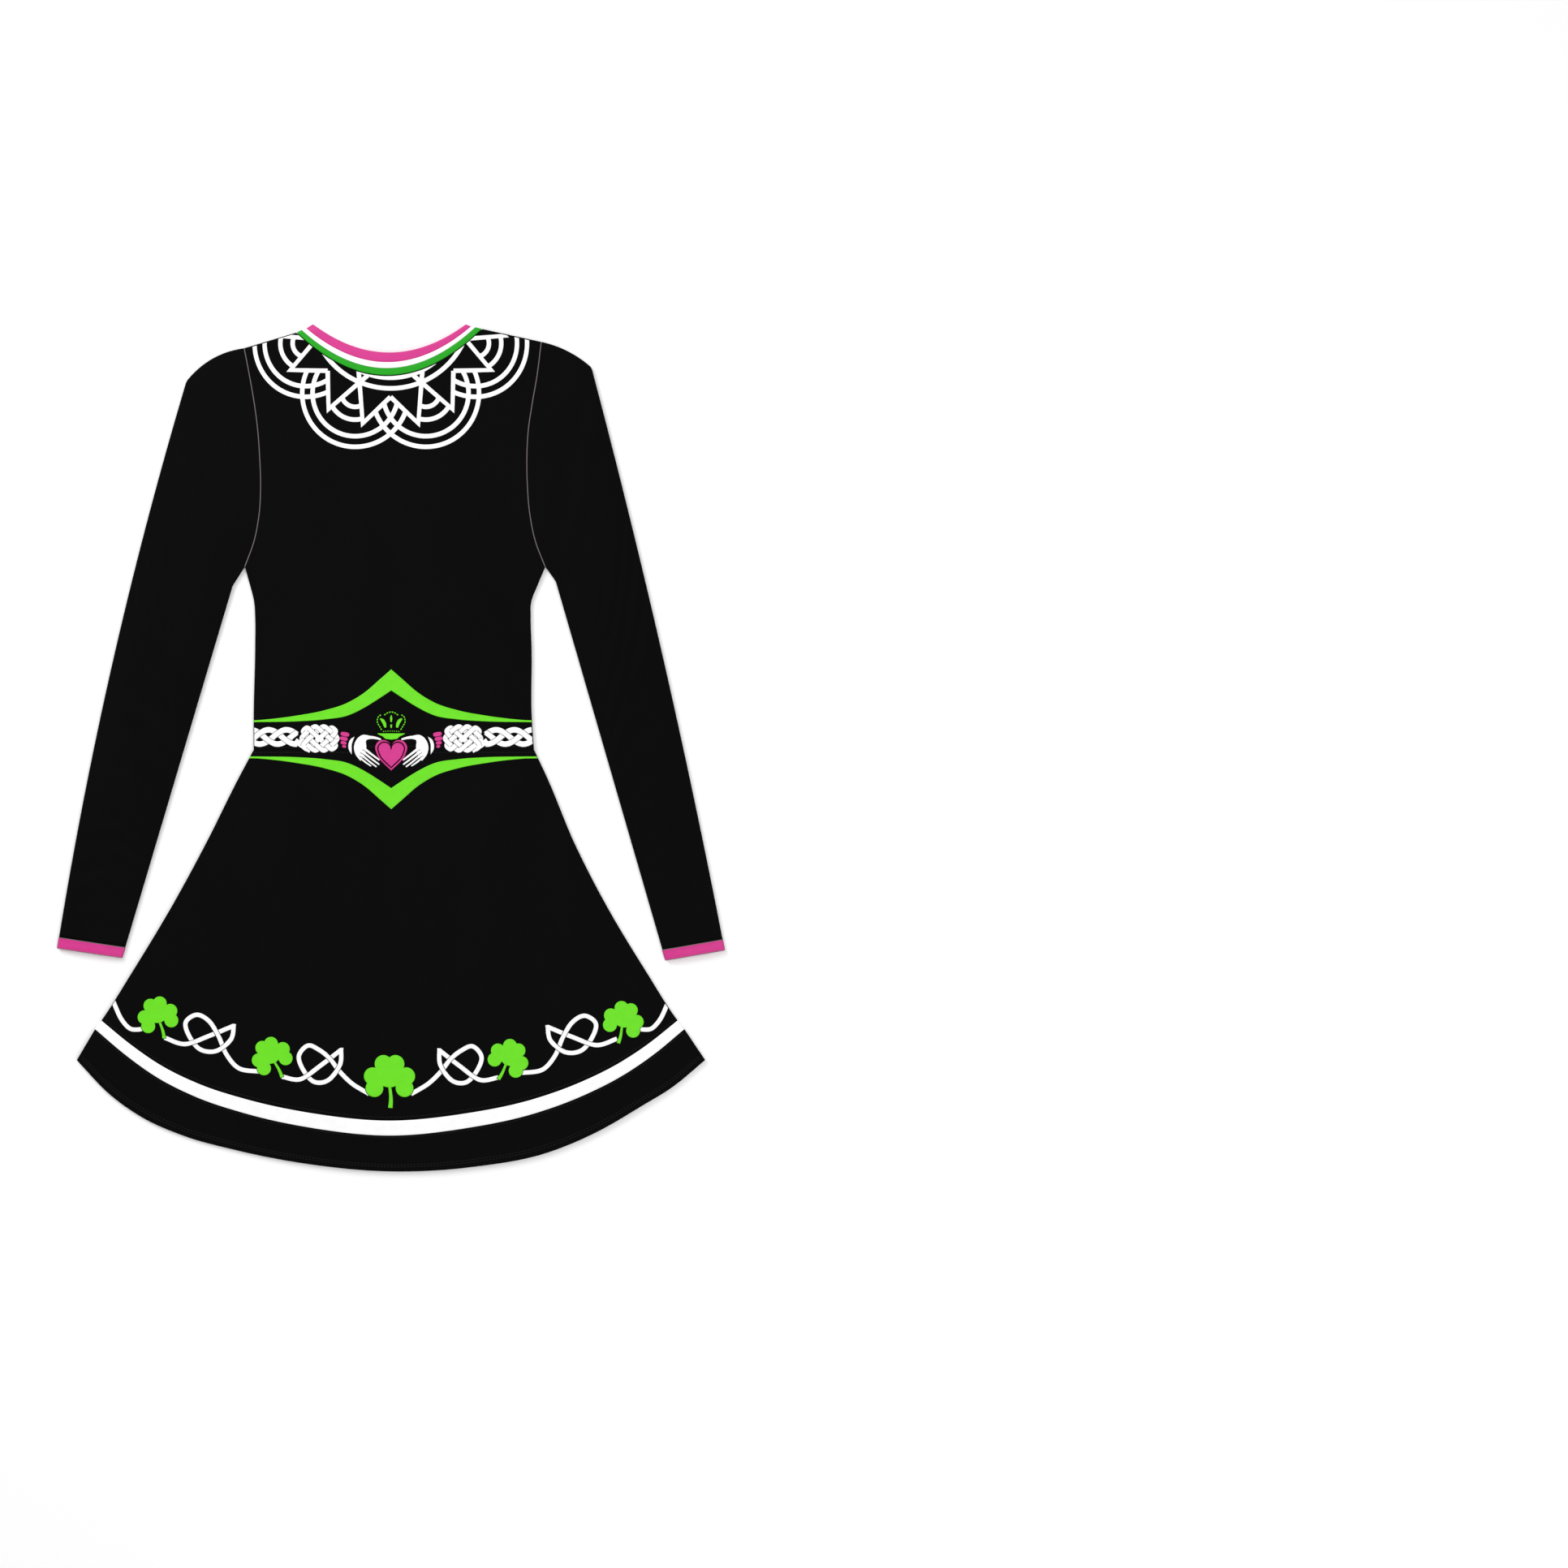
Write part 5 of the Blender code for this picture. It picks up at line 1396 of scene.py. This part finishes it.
# The crown in half widths from the middle of its base line
CROWN_BASE = [(-1.0, 0.03), (-0.78, -0.10), (-0.60, -0.17), (-0.40, -0.36), (0.0, -0.41),
              (0.40, -0.36), (0.60, -0.17), (0.78, -0.10), (1.0, 0.03)]
CROWN_SIDE = [(-0.64, 0.24), (-0.77, 0.46), (-0.95, 0.80), (-0.90, 1.14), (-0.68, 1.32)]
CROWN_TOP = [(-0.50, 1.26), (-0.28, 1.42), (0.0, 1.50), (0.28, 1.42), (0.50, 1.26)]
CROWN_BEADS = [(-0.60, 0.15), (0.0, 0.19), (0.60, 0.15)]
# Petals and bars: points and the widths there
CROWN_PETAL = ([(-0.76, 1.04), (-0.58, 0.90), (-0.46, 0.68), (-0.40, 0.42)],
               (0.0014, 0.0036, 0.0036, 0.0020))
CROWN_BAR = ([(0.0, 1.28), (0.0, 1.05), (0.0, 0.80)], (0.0008, 0.0026, 0.0012))
CROWN_STUB = ([(0.0, 0.64), (0.0, 0.40)], (0.0020, 0.0014))
CROWN_STRANDS = [CROWN_PETAL, (mirrored_knots(CROWN_PETAL[0]), CROWN_PETAL[1]), CROWN_BAR,
                 CROWN_STUB]
# Rows of beads: points, distance between two, half length and half width of one
CROWN_ROWS = [(CROWN_SIDE, 0.0028, (0.0011, 0.0007)),
              (mirrored_knots(CROWN_SIDE), 0.0028, (0.0011, 0.0007)),
              (CROWN_TOP, 0.0028, (0.0011, 0.0007)), (CROWN_BEADS, 0.0022, (0.0006, 0.0006))]


def crown_points(shape):
    """Points given in half widths of the crown, up from its base line."""
    shape = np.array(shape, float)
    return points(BELT_X + CROWN_HALF * shape[:, 0], CROWN_BASE_Y + CROWN_HALF * shape[:, 1])


def crown_shape():
    outlines = [crown_points(CROWN_BASE)]
    for knots, pitch, size in CROWN_ROWS:
        path = smooth_path(crown_points(knots), 8)
        run = run_of(path)
        count = round(run[-1] / pitch)
        for place in (np.arange(count) + 0.5) * run[-1] / count:
            centre = at_run(path, run, place)
            along = at_run(path, run, place + pitch / 3) - centre
            outlines.append(oval(centre, size, math.degrees(math.atan2(along[1], along[0])), 14))
    for knots, widths in CROWN_STRANDS:
        path = smooth_path(crown_points(knots), 5)
        share = np.linspace(0.0, len(widths) - 1, len(path))
        outlines += strand(path, np.interp(share, range(len(widths)), widths))
    return outlines


def shamrock_shape(x, y, width, tilt, grow=0.0):
    """Three two-lobed leaves and a stem; grow makes them wider all round."""
    radius = LEAF_RADIUS + grow
    flank = LEAF_SPREAD + radius * LEAF_FLANK
    wedge = [(0.0, 0.0), (LEAF_REACH, -flank), (LEAF_REACH + radius / 2, 0.0), (LEAF_REACH, flank)]
    outlines = [oval(LEAF_CORE_AT, (LEAF_CORE[0] + grow, LEAF_CORE[1] + grow))]
    for angle in LEAF_ANGLES:
        lobes = turned([(LEAF_REACH, LEAF_SPREAD), (LEAF_REACH, -LEAF_SPREAD)], angle, 1.0,
                       LEAF_ROOT)
        outlines += [oval(lobe, (radius, radius), steps=36) for lobe in lobes]
        outlines.append(turned(wedge, angle, 1.0, LEAF_ROOT))
    stem = smooth_path(STEM, 4)
    stem[-1] -= (0.0, grow)
    outlines += strand(stem, np.linspace(*STEM_WIDTHS, len(stem)) + 2 * grow)
    return [turned(ring, tilt, width / SHAMROCK_WIDTH, (x, y)) for ring in outlines]


# Ornament pieces, on the front and again on the back

def on_both_faces(name, shape, slot, lifts=(), rise=APPLIQUE_RISE):
    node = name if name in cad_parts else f"{name}_front"
    applique(f"{name}_front_applique", shape, slot, [node], lifts, rise=rise)
    applique(f"{name}_back_applique", shape, slot, back=True)


def on_both_sides(name, shape, slot):
    on_both_faces(f"{name}_right", shape, slot)
    on_both_faces(f"{name}_left", flipped(shape), slot)


def belt_clip(side):
    """Half of the belt, from its middle to just inside the dress's side edge."""
    sign = 1 if side == "right" else -1
    y = np.linspace(*BELT_CLIP_Y, 9)
    return np.vstack([points(side_x(y, side) + sign * BELT_INSET, y),
                      [(BELT_X, y[-1]), (BELT_X, y[0])]])


def add_belt():
    for name, up in (("belt_upper", 1), ("belt_lower", -1)):
        on_both_faces(name, cut([belt_outline(up)]), "lime_satin")
    plait, plait_gaps, plait_lifts = weave(plait_paths(), PLAIT_STROKE, PLAIT_GAP)
    knot, knot_gaps, knot_lifts = weave([round_knot_path()], KNOT_STROKE, KNOT_GAP, KNOT_REACH)
    braid = plait + knot + strand(link_path(), PLAIT_STROKE)
    gaps, lifts = plait_gaps + knot_gaps, plait_lifts + knot_lifts
    right = cut(braid, belt_clip("right"), gaps, FINE_STEP)
    left = flipped(cut(braid, mirrored([belt_clip("left")])[0], gaps, FINE_STEP))
    left_lifts = [(*mirrored([centre[None], over]), width) for centre, over, width in lifts]
    on_both_faces("belt_braid_right", right, "white_satin", lifts)
    on_both_faces("belt_braid_left", left, "white_satin", left_lifts)


def add_clasp():
    scale, width = HEART_LINE
    ring = heart_outline(scale)
    line = strand(np.vstack([ring, ring[:2]]), width)
    on_both_faces("belt_heart", cut([heart_outline()], holes=line, step=FINE_STEP),
                  "pink_satin", rise=HIGH_RISE)
    on_both_faces("belt_crown", cut(crown_shape(), step=FINE_STEP), "lime_satin")
    hand, creases = hand_shape()
    on_both_sides("belt_hand", cut(hand, holes=creases, step=FINE_STEP), "white_satin")
    on_both_sides("belt_hand_cuff", cut(ruffle_shape(), step=FINE_STEP), "pink_satin")


def add_collar():
    slot = points(ZIP_SLOT * np.array([-1, 1, 1, -1]), np.repeat(COLLAR_SLOT_Y, 2))
    applique("collar_knot_front_applique", cut(collar_strands(), collar_clip()), "white_satin",
             ["collar_knot_front"])
    applique("collar_knot_back_applique", cut(collar_strands(), collar_clip(), [slot]),
             "white_satin", back=True)


def add_vine():
    leaves = [ring for place in SHAMROCKS for ring in shamrock_shape(*place, VINE_GAP)]
    for number, vine in enumerate(VINES, start=1):
        strands, gaps, lifts = weave([loop_path(*vine)], VINE_STROKE)
        on_both_faces(f"vine_knot_{number}", cut(strands, holes=gaps + leaves), "white_satin",
                      lifts)
    path = smooth_path(VINE_END, 8)
    low, high = VINE_CLIP_Y
    for side, sign in (("right", 1), ("left", -1)):
        y = np.linspace(low, high, 11)
        edge = points(side_x(y, side) + sign * VINE_END_INSET, y)
        clip = np.vstack([edge, points(-sign * VINE_CLIP_X, (high, low))])
        end = cut(strand(path * (sign, 1.0), VINE_STROKE), clip, leaves)
        on_both_faces(f"vine_end_{side}", end, "white_satin")
    for number, place in enumerate(SHAMROCKS, start=1):
        on_both_faces(f"shamrock_{number}", cut(shamrock_shape(*place)), "lime_satin",
                      rise=HIGH_RISE)


# Seams and stitches

def on_front(plan):
    return np.column_stack([plan, front_top(plan[:, 0], plan[:, 1])])


SEAM_RADIUS = 0.00055
SEAM_FLAT = 0.7
SEAM_SINK = 0.00015
PIPING_RADIUS = 0.0004
PIPING_FLAT = 0.8
PIPING_LIFT = 0.00015
CUFF_STITCH_LIFT = 0.0002
CUFF_STITCHES = (0.9875, 0.9965)  # shares of the sleeve's length
# Where stitches and seams run: from share, to share, points
BODY_RUN = (0.004, 0.996, 400)
CUFF_RUN = (0.03, 0.97, 60)
ARMHOLE_RUN = (0.002, 0.998, 160)
# Stitched lines: points of the piece, share up it
TOPSTITCH = [
    (hem_border_point, 0.13), (hem_border_point, 0.19), (hem_border_point, 0.95),
    (skirt_panel_point, 0.008), (skirt_panel_point, 0.992), (bodice_point, 0.006),
]


def cuff_outline(side):
    """Once round the cuff's upper face: its seam, a fold, its lower edge and the other fold."""
    across, along = np.linspace(0.0, 1.0, 60), np.linspace(cuff_start(side), 1.0, 14)
    parts = [sleeve_face(side, along[0], across)]
    parts += [sleeve_face(side, t, np.array([1.0])) for t in along]
    parts.append(sleeve_face(side, 1.0, across[::-1]))
    parts += [sleeve_face(side, t, np.array([0.0])) for t in along[::-1]]
    line = np.vstack([np.column_stack(part) for part in parts])
    apart = np.linalg.norm(np.diff(line, axis=0), axis=1) > SAME_POINT
    return line[np.concatenate([[True], apart])] + (0.0, 0.0, PIPING_LIFT)


def add_seams():
    u = np.linspace(*BODY_RUN)
    lines = [on_front(place(u, np.full_like(u, v))) for place, v in TOPSTITCH]
    stitches("body_topstitch", lines, "black_thread")
    across = np.linspace(*CUFF_RUN)
    for side in ("right", "left"):
        seam = armhole_point(side, np.linspace(*ARMHOLE_RUN), ARMHOLE_GAP / 2)
        height = np.full(len(seam), 2 * CLOTH + GAP - SEAM_SINK)
        tube(f"armhole_{side}_seam", np.column_stack([seam, height]), SEAM_RADIUS, SEAM_FLAT)
        lines = [np.column_stack(sleeve_face(side, t, across)) + (0.0, 0.0, CUFF_STITCH_LIFT)
                 for t in CUFF_STITCHES]
        stitches(f"cuff_{side}_stitches", lines, "pink_satin")
        tube(f"cuff_{side}_piping", cuff_outline(side), PIPING_RADIUS, PIPING_FLAT)


# Zip

def add_box(bm, *spans):
    for vert in bmesh.ops.create_cube(bm, size=1.0)["verts"]:
        for i, (low, high) in enumerate(spans):
            vert.co[i] = lerp(low, high, vert.co[i] + 0.5)


def soften(obj, width, segments):
    bevel = obj.modifiers.new("soft edges", "BEVEL")
    bevel.width = width
    bevel.segments = segments
    return bevel


def add_zip():
    y = np.linspace(ZIP_BOTTOM_Y - TAPE_ENDS[0], ZIP_TOP_Y + TAPE_ENDS[1], 60)
    rib, closeness = TAPE_RIBS
    for side, sign in (("right", -1), ("left", 1)):
        x = np.linspace(*sorted((sign * TAPE_INNER, sign * TAPE_OUTER)), 9)
        across, up = np.meshgrid(x, y)
        skin(f"zip_tape_{side}_weave", points(across, up), TAPE_LOW + rib * np.sin(up * closeness),
             "zip_tape", flip=True, wall=TAPE_HIGH - TAPE_LOW)
    add_teeth()
    for name in ("zip_slider", "zip_pull"):
        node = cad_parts[name]
        node.data.materials.clear()
        node.data.materials.append(MATERIALS["zip_metal"])
        soften(node, SLIDER_SOFT, 2).limit_method = "ANGLE"


def add_teeth():
    """Two rows of interlocked teeth, each a small box with softened edges, from the stop to the
    slider.
    """
    bm = bmesh.new()
    start = ZIP_BOTTOM_Y + TEETH_START
    for i in range(int((ZIP_TOP_Y - SLIDER_LENGTH - SLIDER_GAP - start) / TOOTH_PITCH)):
        for sign, shift in ((-1, 0.0), (1, 0.5)):
            x = sorted(sign * edge for edge in TOOTH_X)
            y = start + (i + shift) * TOOTH_PITCH
            add_box(bm, x, (y, y + TOOTH_SHARE * TOOTH_PITCH), TOOTH_Z)
    add_box(bm, (-STOP_HALF, STOP_HALF), (ZIP_BOTTOM_Y, ZIP_BOTTOM_Y + STOP_LENGTH), TOOTH_Z)
    bm.verts.index_update()
    verts = [vert.co[:] for vert in bm.verts]
    faces = [[vert.index for vert in face.verts] for face in bm.faces]
    bm.free()
    teeth = add_piece("zip_teeth", verts, faces, "zip_coil", ["zip_coil"], smooth=False)
    soften(teeth, TOOTH_SOFT, 1)


# Studio

def put(name, data, place):
    obj = bpy.data.objects.new(name, data)
    obj.location = place
    bpy.context.scene.collection.objects.link(obj)
    return obj


def add_studio():
    scene = bpy.context.scene
    mesh = bpy.data.meshes.new("floor")
    bm = bmesh.new()
    bmesh.ops.create_grid(bm, x_segments=4, y_segments=4, size=FLOOR_SIZE)
    bm.to_mesh(mesh)
    bm.free()
    mesh.materials.append(new_material("pale_floor", FLOOR_WHITE, 0.9, Specular_IOR_Level=0.1)[0])
    put("floor", mesh, (0.0, 0.0, FLOOR_Z))

    scene.world = bpy.data.worlds.new("studio")
    scene.world.use_nodes = True
    background = scene.world.node_tree.nodes["Background"]
    background.inputs["Color"].default_value = (1.0, 1.0, 1.0, 1.0)
    background.inputs["Strength"].default_value = WORLD_LIGHT
    for name, place, size, power in LIGHTS:
        light = bpy.data.lights.new(name, "AREA")
        light.size = size
        light.energy = power
        aim = -Vector(place)
        put(name, light, place).rotation_euler = aim.to_track_quat("-Z", "Y").to_euler()

    camera = bpy.data.cameras.new("camera")
    camera.lens = LENS
    camera.sensor_width = SENSOR
    scene.camera = put("camera", camera, (*PAGE_CENTRE, PAGE_WIDTH * LENS / SENSOR))
    scene.view_settings.view_transform = "Standard"


add_body()
add_neck()
add_sleeves()
add_belt()
add_clasp()
add_collar()
add_vine()
add_seams()
add_zip()
add_studio()
